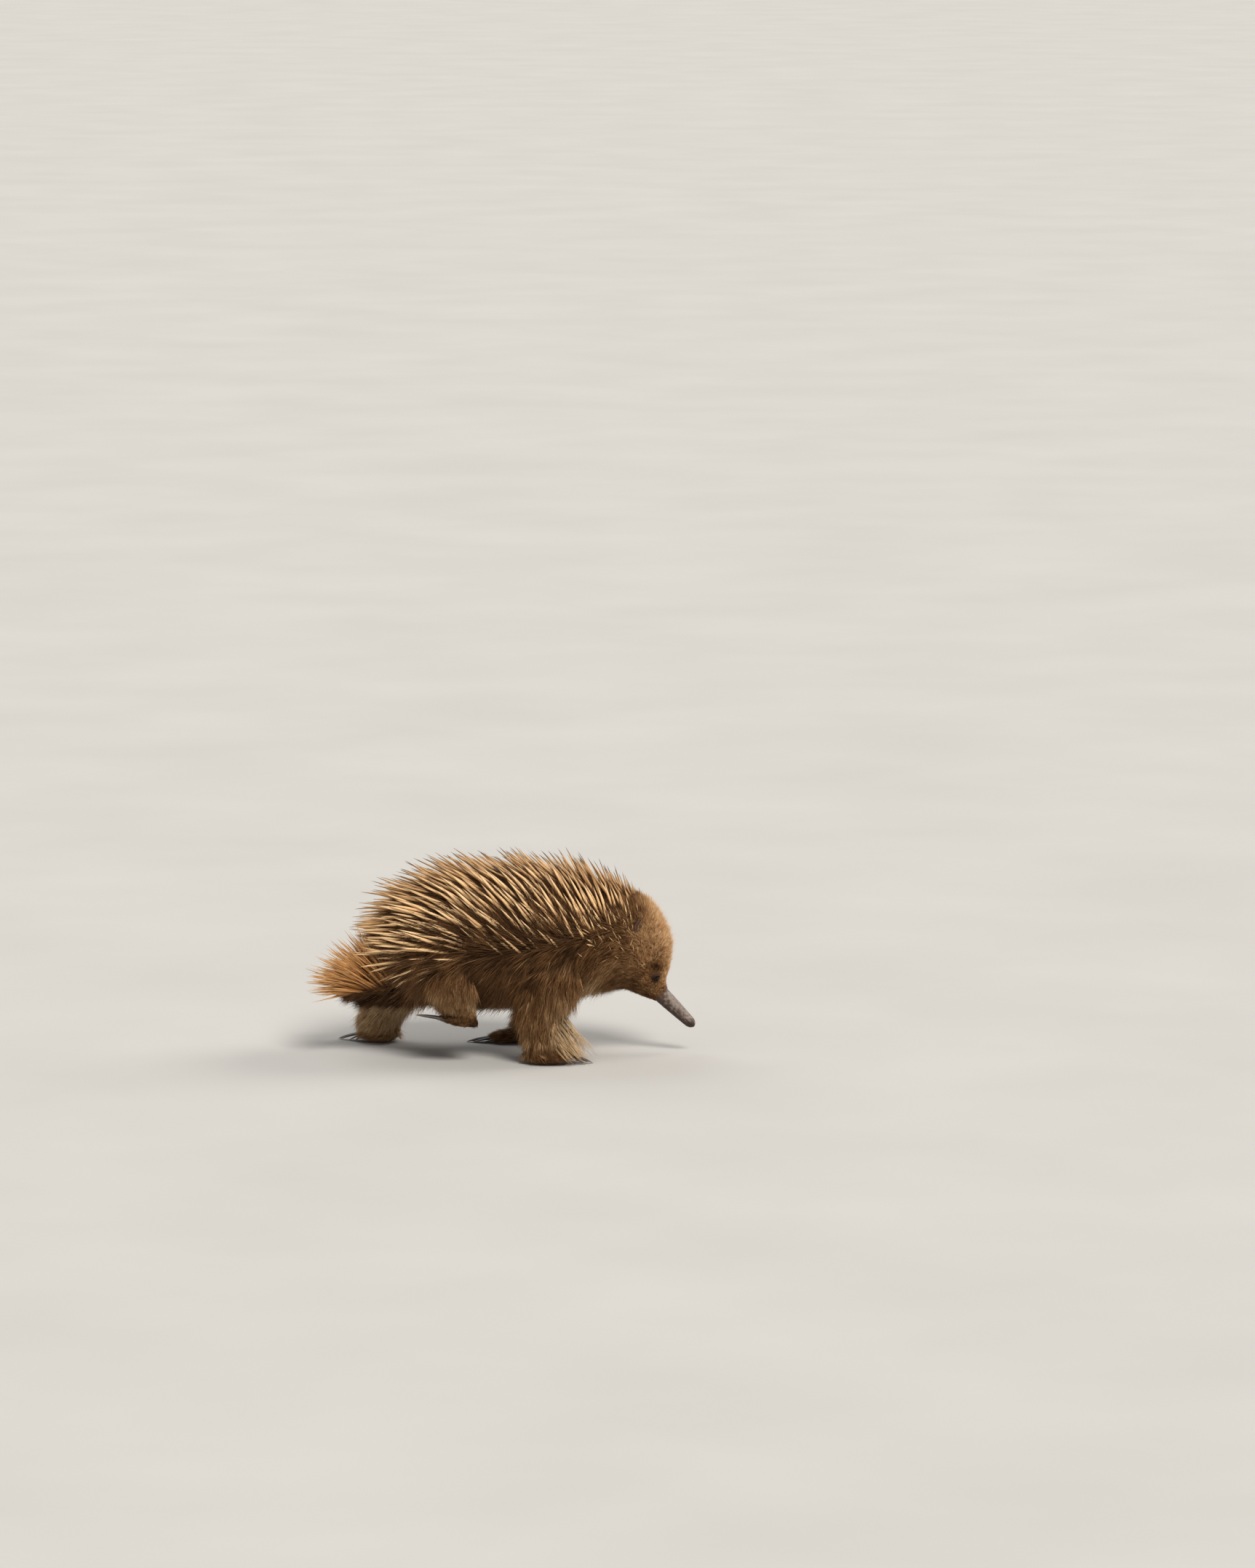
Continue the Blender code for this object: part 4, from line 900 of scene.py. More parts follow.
def lid_surface(side, s, turn):
    """Points of the lids round an eye: from an edge sunk in the hide at 0, over folds, to a rim at 1.

    The upper lid is the thicker fold and comes further over the ball. The rim lies on the ball.
    """
    here, normal, back, up = eye_frame(side)
    half, outer = (1 / np.sqrt((np.cos(turn) / along) ** 2 + (np.sin(turn) / over) ** 2)
                   for along, over in (OPENING_HALF, LIDS_HALF))
    above = np.maximum(np.cos(turn - BROW_TURN), 0.0)
    half = half * (1 - BROW_DROOP * above)
    radius = half + (outer - half) * (1 - s)
    ball_rise = np.sqrt(np.maximum(EYE_RADIUS**2 - half**2, 0.0)) + 0.0001
    creases = CREASE_DEEP * np.sin(17.0 * s + 1.1 * np.sin(2 * turn + 0.6)) * fade(s, 0.1, 0.4)
    brow = LID_BROW * above * np.exp(-(((s - 0.58) / 0.25) ** 2))
    rise = LID_HIGH + creases + brow - LID_SUNK * (1 - s) ** 1.8
    rim = fade(s, 0.76, 1.0)
    rise = mixed(rise, ball_rise + LID_ROLL * np.sin(np.pi * rim), rim)
    return here + normal * (rise - EYE_BEHIND)[..., None] + oval(back, up, turn, radius, radius)


EYE_ROWS, EYE_SIDES, LID_SIDES = 36, 48, 72
eye_material, lid_material = eye_finish(), lid_finish()
for side, word in SIDES:
    here, normal, back, up = eye_frame(side)
    centre = here - normal * EYE_BEHIND
    polar, _ = grid(0.02, np.pi - 0.02, EYE_ROWS, EYE_SIDES)
    rings = ball(centre, (normal, back, up), (EYE_RADIUS,) * 3, EYE_ROWS, EYE_SIDES)
    eye = mesh_object("eyeball_" + word, *closed_loft(rings))
    mark(eye, "polar", np.append(polar / (np.pi / 2), [0.0, 2.0]))
    dress(eye, eye_material, "eye", "eye_" + word)
    s, turn = grid(0.0, 1.0, 40, LID_SIDES)
    rings = lid_surface(side, s, turn)
    under = centre + (rings[-1:] - centre) * RIM_TUCKED
    deep = centre + (rings[:1] - centre) * EDGE_TUCKED
    points, faces = closed_loft(np.concatenate([rings, under, deep]))
    open_faces = faces[(faces < len(points) - 2).all(-1)]
    lids = mesh_object("lids_" + word, points[:-2], open_faces)
    mark(lids, "ring", np.append(s, np.ones(2 * LID_SIDES)))
    dress(lids, lid_material, "face_fur", "head")

# The ears
# Each ear is a long slit with a low rim of bare dark skin, half buried in the fur behind the head.
# The rim is a ring of gristle under thin skin, thicker behind the slit than before it.
EAR_LONG, EAR_WIDE, EAR_ROLL, EAR_SET_IN = 0.0078, 0.0026, 0.0015, 0.0046
EAR_ARCH, EAR_ROWS, EAR_SIDES = 0.0012, 72, 20


def ear_surface(side, turn, roll):
    """Points of an ear's rim: a circle carried round a long ellipse, fatter behind, drawn down within."""
    here, along, around, normal = frame_at(EAR_STATION, side * EAR_ANGLE)
    back, across = unit(-along), unit(around)
    line = oval(back, across, turn, EAR_WIDE, EAR_LONG)
    out = unit(oval(back, across, turn, 1 / EAR_WIDE, 1 / EAR_LONG))
    thick = EAR_ROLL * (1.15 + 0.35 * np.cos(turn))
    rise = thick * np.sin(roll) * (1 + 1.3 * (np.sin(roll) < 0)) + EAR_ARCH * np.cos(turn) ** 2
    return here + line + out * (thick * np.cos(roll))[..., None] + normal * (rise - EAR_SET_IN)[..., None]


def ear_finish():
    """Thin bare skin, dark brown, with a fine wrinkled bump."""
    material, tree, shader = new_finish("ear_skin", 0.7, 0.15)
    grain = noise_of(tree, place_of(tree), 800.0)
    colour = ramp_of(tree, grain, ((0.3, (0.030, 0.014, 0.008)), (0.7, (0.085, 0.042, 0.022))))
    feed(tree, colour, shader.inputs["Base Color"])
    bump_of(tree, grain, 0.0003, shader)
    return material


ear_material = ear_finish()
for side, word in SIDES:
    turn, roll = np.meshgrid(*(2 * np.pi * np.arange(count) / count for count in (EAR_ROWS, EAR_SIDES)),
                             indexing="ij")
    points = ear_surface(side, turn, roll).reshape(-1, 3)
    faces = bands(EAR_ROWS + 1, EAR_SIDES) % len(points)
    ear = mesh_object("ear_rim_" + word, points, facing_out(points, faces))
    dress(ear, ear_material, "ear_skin", "ear_" + word)

# The claws
# Five claws on each paw, of dark horn, like spades in front, with one very long grooming claw behind.
# Each grows out of its toe, arched on top and nearly flat beneath, and curves down to a worn blunt tip.
CLAW_SHARES = (0.0, 0.3, 0.7, 0.92, 1.0)
CLAW_WIDTHS, CLAW_DEPTHS = (0.954, 1.06, 0.8692, 0.477, 0.106), (0.95, 1.0, 0.85, 0.55, 0.12)
CLAW_UNDER = 0.55
CLAW_FALL_LIFTED, CLAW_TIP_SHOWN = 0.10, 0.36
CLAW_SWELL, CLAW_SWELL_LIFTED = 1.1, 1.35


def claw_shape(root, way, size, fall, floor, swell):
    """One claw: an arched section carried along a line that drops by the square of the share run."""
    length, half_wide, half_deep = size
    side = unit(np.cross(way, UP))
    u, turn = grid(0.0, 1.0, 26, 16)
    width = half_wide * swell * np.interp(u, CLAW_SHARES, CLAW_WIDTHS)
    depth = half_deep * swell * np.interp(u, CLAW_SHARES, CLAW_DEPTHS)
    depth = np.where(np.sin(turn) < 0, depth * CLAW_UNDER, depth)
    middle = root + way * ((length + CLAW_SUNK) * u)[..., None] - UP * (fall * u * u)[..., None]
    rings = middle + oval(side, np.cross(side, way), turn, width, depth)
    rings[..., 2] = np.maximum(rings[..., 2], floor)
    return closed_loft(rings), np.append(u, [0.0, 1.0]), np.append(np.sin(turn), [0.0, 0.0])


def streaks_of(tree, x, y, z, scale, detail):
    """Noise drawn out into streaks, read at a place put together from three values."""
    place = add_node(tree, "ShaderNodeCombineXYZ")
    for value, target in zip((x, y, z), place.inputs):
        feed(tree, value, target)
    return noise_of(tree, place.outputs["Vector"], scale, detail)


def claw_finish():
    """Dark horn with long faint streaks, greyer and worn towards the tip."""
    material, tree, shader = new_finish("claw_horn", 0.38, 0.5)
    along = stored(tree, "along")
    ridge = math_of(tree, "MULTIPLY", stored(tree, "ridge"), 9.0)
    grain = streaks_of(tree, ridge, math_of(tree, "MULTIPLY", along, 2.0), 0.0, 1.6, 5.0)
    colour = ramp_of(tree, varied(tree, along, grain, 0.9), (
        (0.15, (0.046, 0.030, 0.022)), (0.60, (0.034, 0.026, 0.022)), (0.88, (0.095, 0.076, 0.062)),
        (1.05, (0.240, 0.195, 0.155))))
    feed(tree, colour, shader.inputs["Base Color"])
    bump_of(tree, grain, 0.0002, shader)
    return material


claw_material = claw_finish()
for paw in PAWS:
    floor, height = PAWS[paw][2], PAWS[paw][7]
    claws = []
    for root, way, toe in zip(*toe_roots(paw)):
        fall, swell = height * TOE_HEIGHT - toe[4] * CLAW_TIP_SHOWN, CLAW_SWELL
        if floor > 0.0:
            fall, swell = height * CLAW_FALL_LIFTED, CLAW_SWELL_LIFTED
        claws.append(claw_shape(root, way, toe[2:], fall, floor, swell))
    shapes, alongs, ridges = zip(*claws)
    made = mesh_object("claws_" + paw, *joined(shapes))
    mark(made, "along", np.concatenate(alongs))
    mark(made, "ridge", np.concatenate(ridges))
    dress(made, claw_material, "claws", paw)

# The spines
# Stout hollow spines of horn: cream, brown towards the root as painted shade, and on the back a dark tip.
# They grow in staggered rows from the hide, stand and slant with the muscle under it, and overlap.
SPINE_SPACING, NECK_SPACING, CROWN_SPACING = 0.0113, 0.0098, 0.0110
SPINE_SUNK, SPINE_SCATTER, STATION_SCATTER, ROW_STEP = 0.0060, 0.38, 0.09, 0.9
NECK_REAR, NECK_FRONT = 5.25, 6.45
PATCH = 0.003


def unwrap_place(region, t, angle, last):
    """Places on the unwrap: across its region's rectangle by angle, and up it by station."""
    left, bottom, wide, high = UNWRAP[region]
    return np.stack([left + wide * (angle / (2 * np.pi) + 0.5), bottom + high * t / last], -1)


def spikes(root, way, bend, length, half, shares, scales, corners, side, sunk=0.0):
    """Many tapered spikes as points, triangles, and how far along and round its spike each point is.

    A middle line leaves each root along its way and bends by the square of the share run. Each listed share
    has a section, the half size times its scale. A corner's row is how far it is to the side and up, and its
    place round the spike. A point closes the end.
    """
    up = np.cross(side, way)
    run = length[:, None] * shares - sunk * (1 - shares)
    middle = root[:, None] + way[:, None] * run[..., None]
    middle = middle + bend[:, None] * (length[:, None] * shares**2)[..., None]
    section = side[:, None] * corners[:, :1] + up[:, None] * corners[:, 1:2]
    rings = middle[:, :, None] + section[:, None] * (half[:, None] * scales)[..., None, None]
    tip = root + (way + bend) * length[:, None]
    points = np.concatenate([rings.reshape(len(root), -1, 3), tip[:, None]], axis=1).reshape(-1, 3)
    rows, sides = len(shares), len(corners)
    closed_root = np.stack([np.zeros(sides - 2, int), np.arange(2, sides), np.arange(1, sides - 1)], -1)
    one = np.concatenate([closed_root, bands(rows, sides), fan((rows - 1) * sides, sides, rows * sides)])
    faces = (one[None] + (np.arange(len(root)) * (rows * sides + 1))[:, None, None]).reshape(-1, 3)
    along = np.append(np.repeat(shares, sides), 1.0)
    around = np.append(np.tile(corners[:, 2], rows), 0.5)
    return points, facing_out(points, faces), along, around


def spiked_piece(name, shape, places, **each):
    """An object of many spikes, with its map, the mark along each spike, and the marks each has one of."""
    points, faces, along, around = shape
    made = mesh_object(name, points, faces)
    mark(made, "along", np.tile(along, len(places)))
    for label, values in each.items():
        mark(made, label, np.repeat(values, len(along)))
    map_patches(made, places, along, around)
    return made


def map_patches(thing, places, along, around):
    """The map of a coat piece: a small patch at each root's place, from root to tip and once round."""
    each = np.stack([(around - 0.5) * PATCH, (along - 0.5) * PATCH], -1)
    spots = (places[:, None] + each[None]).reshape(-1, 2)
    corners = read_all(thing.data.loops, "vertex_index", 1, np.int32)
    layer = thing.data.uv_layers.new(name="OFBake")
    layer.data.foreach_set("uv", spots[corners].astype(np.float32).ravel())


def spine_rows(rng, first, last, spacing):
    """Stations and angles in staggered rows a spacing apart, right across the mantle, a little scattered."""
    stations, angles = [], []
    t, row = first, 0
    while t < last:
        x, _, _, high, wide = through(BODY, np.array(t))
        limit = np.radians(mantle_sizes(x)[0])
        radius = 0.5 * (high + wide) * np.sqrt(1 - (1 - rump_share(t)) ** 2)
        count = max(int(radius * limit / spacing), 1)
        places = limit * (np.arange(-count, count + 1) + 0.5 * (row % 2)) / count
        places = places[np.abs(places) <= limit]
        scatter = rng.uniform(-SPINE_SCATTER, SPINE_SCATTER, len(places))
        angles.append(places + spacing * scatter / max(radius, 0.01))
        stations.append(np.maximum(t + rng.uniform(-STATION_SCATTER, STATION_SCATTER, len(places)), 0.10))
        step = body_surface(np.array(t + 0.05), np.array(0.0)) - body_surface(np.array(t), np.array(0.0))
        t += spacing * ROW_STEP / (np.linalg.norm(step) / 0.05)
        row += 1
    return np.concatenate(stations), np.concatenate(angles)


def spine_finish(name, stops):
    """Horn with a tone and fine streaks along it, and a paler or browner cast from spine to spine."""
    material, tree, shader = new_finish(name, 0.42, 0.42)
    along, cast = stored(tree, "along"), stored(tree, "cast")
    around = math_of(tree, "MULTIPLY", stored(tree, "around"), 5.0)
    grain = streaks_of(tree, around, along, math_of(tree, "MULTIPLY", cast, 40.0), 2.4, 3.0)
    horn = ramp_of(tree, varied(tree, along, grain, 0.16), stops)
    near_tip = greys_of(tree, along, (0.66, 0.0), (0.90, 1.0))
    tip = math_of(tree, "MULTIPLY", stored(tree, "dark_tip"), near_tip)
    horn = colours_of(tree, tip, horn, (0.030, 0.018, 0.011, 1.0))
    value = ramp_of(tree, cast, (
        (0.0, (0.58, 0.50, 0.42)), (0.6, (1.0, 0.98, 0.95)), (1.0, (1.08, 1.10, 1.15))))
    colour = shaded(tree, shaded(tree, horn, value), greys_of(tree, grain, (0.3, 0.86), (0.7, 1.0)))
    feed(tree, colour, shader.inputs["Base Color"])
    return material


SPINE_SHARES = np.array([0.0, 0.11, 0.26, 0.44, 0.62, 0.80, 0.92])
SPINE_SCALES = np.array([0.50, 0.76, 0.97, 1.00, 0.78, 0.44, 0.20])
# Each spine's sections are turned from this direction, along which none grows
SECTION_FROM = np.array([0.13, 0.31, 0.94])


def grow_horn(name, material, slot, nodes, places, root, way, bend, length, radius, sides, cast, dark_tip):
    """A piece of round tapered horn spines: each section a ring of so many sides, square to the spine."""
    turn = 2 * np.pi * np.arange(sides) / sides
    corners = np.stack([np.cos(turn), -np.sin(turn), turn / (2 * np.pi)], -1)
    side = unit(np.cross(way, SECTION_FROM))
    shape = spikes(root, way, bend, length, radius, SPINE_SHARES, SPINE_SCALES, corners, side, SPINE_SUNK)
    made = spiked_piece(name, shape, places, cast=cast, dark_tip=dark_tip)
    mark(made, "around", np.tile(shape[3], len(root)))
    dress(made, material, slot, *nodes)


# From root to tip: the brown near the root is painted shade where the spines leave the fur, then cream horn,
# darker at the very tip
SPINE_TONES = (
    (0.00, (0.110, 0.045, 0.016)),
    (0.15, (0.340, 0.160, 0.055)),
    (0.34, (0.860, 0.540, 0.250)),
    (0.80, (0.940, 0.650, 0.350)),
    (1.00, (0.560, 0.320, 0.140)),
)
HORN_CAST = 2.2, 1.3
rng = np.random.default_rng(7)
spine_material = spine_finish("spine_horn", SPINE_TONES)
for name, node, first, last, spacing in (
    ("spines_body", "torso", 0.12, NECK_REAR - 0.08, SPINE_SPACING),
    ("spines_neck", "neck", NECK_REAR + 0.02, NECK_FRONT, NECK_SPACING),
    ("spines_crown", "head", NECK_FRONT + 0.10, MANTLE_END, CROWN_SPACING),
):
    t, angle = spine_rows(rng, first, last, spacing)
    here, along, _, normal = surface_frame(body_surface, t, angle)
    turned = np.degrees(np.abs(angle))
    limit, stand, _, _, length, radius = mantle_sizes(here[:, 0])
    lie, up = body_lie(t, along, normal)
    lift = np.radians(stand + (SPINE_FLANK_LIFT - stand) * fade(turned, 0.0, 75.0))
    way = oval(oval(lie, up, spine_slant(here[:, 0], turned)), normal, lift)
    way = unit(way + rng.uniform(-0.11, 0.11, way.shape))
    edge, top = fade(turned, limit, limit - 22.0), fade(turned, 48.0, 18.0)
    length = length * rng.uniform(0.72, 1.12, len(length)) * (0.72 + 0.28 * edge)
    radius = radius * rng.uniform(0.78, 1.04, len(length)) * (0.78 + 0.22 * edge) * (1 - 0.18 * top)
    bend = -normal * 0.045 + rng.uniform(-0.035, 0.035, way.shape)
    root = body_surface(t, angle, hide_depth(t, angle))
    # Spines on the top of the back get a lower cast, which darkens them: painted shade against the lamp
    # above
    cast = np.clip(rng.beta(*HORN_CAST, len(t)) - 0.70 * top, 0.0, 1.0)
    tips = fade(turned, 80.0, 20.0) * rng.uniform(0.1, 1.0, len(t)) * fade(here[:, 0], -0.17, -0.07)
    places = unwrap_place("body", t, angle, BEAK_ROOT)
    grow_horn(name, spine_material, "spines", [node], places, root, way, bend, length, radius, 8, cast, tips)

# The bristles
# Short thin spines, scattered in the fur over the side of the neck and the cheek, shorter towards the face.
# They are the mantle's outliers: the same cream horn, half sunk in the hair.
BRISTLES, BRISTLE_STATIONS = 190, (5.3, 6.9, 8.3)
BRISTLE_HIGH, BRISTLE_LOW = (72.0, 48.0, 20.0), (110.0, 108.0, 74.0)
BRISTLE_LENGTHS, BRISTLE_RADII = (0.0200, 0.0150, 0.0095), (0.00085, 0.00065, 0.00050)
t = rng.uniform(BRISTLE_STATIONS[0], BRISTLE_STATIONS[-1], BRISTLES)
low, high = np.interp(t, BRISTLE_STATIONS, BRISTLE_LOW), np.interp(t, BRISTLE_STATIONS, BRISTLE_HIGH)
turned = mixed(low, high, rng.random(BRISTLES) ** 0.7)
angle = np.radians(turned) * np.where(np.arange(BRISTLES) % 2, 1.0, -1.0)
here, along, _, normal = surface_frame(body_surface, t, angle)
lie, up = body_lie(t, along, normal)
slant = np.radians(32.0 + rng.normal(0.0, 9.0, BRISTLES))
lift = np.radians(26.0 + rng.normal(0.0, 6.0, BRISTLES))
way = unit(oval(oval(lie, up, slant), normal, lift))
length = np.interp(t, BRISTLE_STATIONS, BRISTLE_LENGTHS) * rng.uniform(0.75, 1.15, BRISTLES)
radius = np.interp(t, BRISTLE_STATIONS, BRISTLE_RADII) * rng.uniform(0.8, 1.1, BRISTLES)
root = body_surface(t, angle, hide_depth(t, angle))
grow_horn("bristles", spine_material, "spines", ["neck", "head"], unwrap_place("body", t, angle, BEAK_ROOT),
          root, way, -normal * 0.05, length, radius, 5, rng.beta(*HORN_CAST, BRISTLES), np.zeros(BRISTLES))

# The tail tuft
# The stub of a tail is hidden in a brush of finer, softer spines, orange-tan and crowded together.
# They grow from its upper side and fan from flat behind to steep above, splayed to both sides.
TUFT_ROWS, TUFT_ROW_SPINES, TUFT_LENGTH, TUFT_RADIUS = 17, 34, 0.0550, 0.00100
TUFT_FIRST, TUFT_LAST, TUFT_EDGE = 0.45, 2.75, np.radians(102.0)
TUFT_HIGH, TUFT_LOW, TUFT_SPREAD, TUFT_OFF_TAIL = 70.0, -2.0, 34.0, 0.15
TUFT_CAST = 2.0, 1.5
TUFT_TONES = (
    (0.00, (0.120, 0.052, 0.019)),
    (0.20, (0.330, 0.145, 0.042)),
    (0.50, (0.600, 0.290, 0.095)),
    (0.85, (0.760, 0.430, 0.170)),
    (1.00, (0.860, 0.560, 0.270)),
)
count = TUFT_ROWS * TUFT_ROW_SPINES
share = np.repeat(np.linspace(0.0, 1.0, TUFT_ROWS), TUFT_ROW_SPINES)
across = np.tile(np.arange(TUFT_ROW_SPINES), TUFT_ROWS) + 0.5 + rng.uniform(-0.4, 0.4, count)
angle = TUFT_EDGE * (2 * across / TUFT_ROW_SPINES - 1)
t = mixed(TUFT_FIRST, TUFT_LAST, share) + rng.uniform(-0.06, 0.06, count)
_, _, _, normal = surface_frame(tail_surface, t, angle)
root = tail_surface(t, angle, TAIL_DEPTH)
rise = mixed(TUFT_HIGH, TUFT_LOW, 0.80 * share**1.2 + 0.20 * np.sin(angle) ** 2)
rise = np.radians(rise + rng.uniform(-10, 10, count))
yaw = np.radians(TUFT_SPREAD * np.sin(angle) + rng.uniform(-8, 8, count))
way = np.stack([-np.cos(yaw) * np.cos(rise), np.sin(yaw) * np.cos(rise), np.sin(rise)], -1)
inward = (way * normal).sum(-1, keepdims=True)
way = unit(way + normal * np.maximum(TUFT_OFF_TAIL - inward, 0.0))
length = TUFT_LENGTH * rng.uniform(0.66, 1.10, count)
bend = rng.uniform(-0.05, 0.05, way.shape) - 0.03 * UP
radius = TUFT_RADIUS * rng.uniform(0.70, 1.15, count)
cast = rng.beta(*TUFT_CAST, count)
tips = rng.uniform(-0.6, 0.5, count).clip(0.0, 1.0)
grow_horn("tail_tuft", spine_finish("tuft_horn", TUFT_TONES), "tail_tuft", ["tail"],
          unwrap_place("tail", t, angle, TAIL_END), root, way, bend, length, radius, 5, cast, tips)

# The fur
# Soft brown hair between and below the spines: plush on the head, long on flanks and legs, short on paws.
# Every tuft is a thin tapered blade rooted in the hide, which follows the lie of the coat and its fellows.
hide.data.calc_loop_triangles()
hide_faces = read_all(hide.data.loop_triangles, "vertices", 3, np.int32)
face_points = hide_points[hide_faces]
face_sides = face_points[:, 1:] - face_points[:, :1]
face_areas = 0.5 * np.linalg.norm(np.cross(face_sides[:, 0], face_sides[:, 1]), axis=-1)
face_middles = face_points.mean(axis=1)
face_ahead = hide_normals[hide_faces[:, 0], 0]
face_guide = hide_guide[hide_faces[:, 0]]
face_region = guide_region[face_guide]
face_spined = hide_spined[hide_faces].mean(-1)
face_thick = hide_thick[hide_faces].mean(-1) / np.sqrt(hide_length[hide_faces].mean(-1))


def unwrap_roots(points, guide):
    """Each root's place on the unwrap: its guide's station and angle, moved on by how far it lies off."""
    off = points - guide_here[guide]
    t, angle = (start[guide] + (off * step[guide]).sum(-1) / (step[guide] ** 2).sum(-1)
                for start, step in ((guide_t, guide_along), (guide_angle, guide_around)))
    places = np.zeros((len(points), 2))
    for number, region in enumerate(REGIONS):
        last = {"body": BEAK_ROOT, "tail": TAIL_END}.get(region, 4.0 if "leg" in region else 1.0)
        turned = (angle + np.pi) % (2 * np.pi) - np.pi
        inside = guide_region[guide] == number
        places[inside] = unwrap_place(region, np.clip(t, 0, last), turned, last)[inside]
    return places


def fur_finish():
    """Soft matt hair: the coat's tones, darker at the root as painted shade deep in the coat, paler at the
    tip, with a faint sheen.
    """
    material, tree, shader = new_finish("fur", 0.72, 0.12)
    shader.inputs["Sheen Weight"].default_value = 0.06
    shader.inputs["Sheen Roughness"].default_value = 0.5
    shader.inputs["Sheen Tint"].default_value = (1.0, 0.75, 0.5, 1.0)
    colour = ramp_of(tree, stored(tree, "pale"), COAT_TONES)
    # Darker towards the root: painted shade deep in the coat
    depth = greys_of(tree, stored(tree, "along"), (0.0, 0.18), (0.45, 0.72), (1.0, 1.08))
    feed(tree, shaded(tree, colour, depth), shader.inputs["Base Color"])
    return material


FUR_CLEAR, FUR_REACH, FUR_GIVE, FUR_LOWEST = 0.0008, 0.0910, 0.0100, 0.0003
FUR_SUNK, FUR_SUNK_MOST = 0.10, 0.0008
STRAYS, STRAY_LONGER, STRAY_THINNER, STRAY_PALER = 0.07, 1.35, 0.7, 0.10
CLUMP = 16
# A blade's corners: how far each is to the side and up, and its place round the blade
BLADE_CORNERS = np.array([(1.0, -0.25, 0.0), (-1.0, -0.25, 1.0), (0.0, 0.5, 0.5)])
fur_material = fur_finish()


def grow_fur(name, chosen, count, width, rows, slot, node, seed, clump=0.5, longer=1.0, paler=0.0, push=0.0):
    """Roots scattered over the chosen faces of the hide, more where hair is short, each grown along its lie.

    Every clump of sixteen leans towards its leader and shares a little of its way and tone. Blades differ a
    little besides, and one in fourteen strays. None reaches below the floor, and what would stand out far to
    a side is pressed back, the more the further it would go.
    """
    rng = np.random.default_rng(seed)
    weight = face_areas * face_thick * chosen
    picked = rng.choice(len(weight), count, p=weight / weight.sum())
    first, second = rng.random((2, count, 1))
    fold = first + second > 1
    first, second = np.where(fold, 1 - first, first), np.where(fold, 1 - second, second)
    shares = np.concatenate([1 - first - second, first, second], -1)[..., None]
    at = hide_faces[picked]
    hair = np.column_stack([hide_points, hide_normals, hide_way, hide_length, hide_stand, hide_pale])
    hair = (hair[at] * shares).sum(1)
    root, normal, lie = hair[:, :3], unit(hair[:, 3:6]), unit(hair[:, 6:9])
    length, stand, pale = hair[:, 9:].T
    stray = rng.random(count) < STRAYS
    length = length * rng.uniform(0.70, 1.15, count) * np.where(stray, STRAY_LONGER, 1.0) * longer
    leaders = root[::CLUMP]
    leader = nearest(root, leaders)
    stand = np.radians(stand + rng.normal(0.0, 6.0, count))
    swirl = np.stack([ripple(root, 0.020, seed + k) for k in (1, 2, 3)], -1) * 0.14
    swirl = swirl + rng.normal(0.0, 0.11, leaders.shape)[leader] + rng.normal(0.0, 0.07, root.shape)
    way = unit(oval(lie, normal, stand) + swirl + push)
    lean = (leaders[leader] - root) * clump / length[:, None]
    lean = lean - normal * (lean * normal).sum(-1, keepdims=True)
    bend = lean * 0.8 - normal * (0.16 * np.sin(stand))[:, None] - 0.10 * UP
    bend = bend + rng.normal(0.0, 0.04, root.shape)
    tip_high = root[:, 2] + (way + bend)[:, 2] * length
    bend[:, 2] += np.maximum(FUR_CLEAR * rng.uniform(1.0, 4.0, count) - tip_high, 0.0) / length
    tip_out = root[:, 1] + (way + bend)[:, 1] * length
    past = np.maximum(np.abs(tip_out) - FUR_REACH, 0.0)
    bend[:, 1] -= np.sign(tip_out) * (past - FUR_GIVE * (1 - np.exp(-past / FUR_GIVE))) / length
    width = width * rng.uniform(0.7, 1.2, count) * np.where(stray, STRAY_THINNER, 1.0)
    sunk = normal * np.minimum(FUR_SUNK * length, FUR_SUNK_MOST)[:, None]
    shares = np.arange(rows) / rows
    scales = 1 - 0.75 * shares**1.5
    side = unit(np.cross(way, normal))
    shape = spikes(root - sunk, way, bend, length, 0.5 * width, shares, scales, BLADE_CORNERS, side)
    shape[0][:, 2] = np.maximum(shape[0][:, 2], FUR_LOWEST)
    pale = pale + paler + rng.normal(0.0, 0.095, len(leaders))[leader] + rng.normal(0.0, 0.10, count)
    pale = np.clip(pale + np.where(stray, STRAY_PALER, 0.0), 0.0, 1.0)
    made = spiked_piece(name, shape, unwrap_roots(root, face_guide[picked]), pale=pale)
    dress(made, fur_material, slot, node)


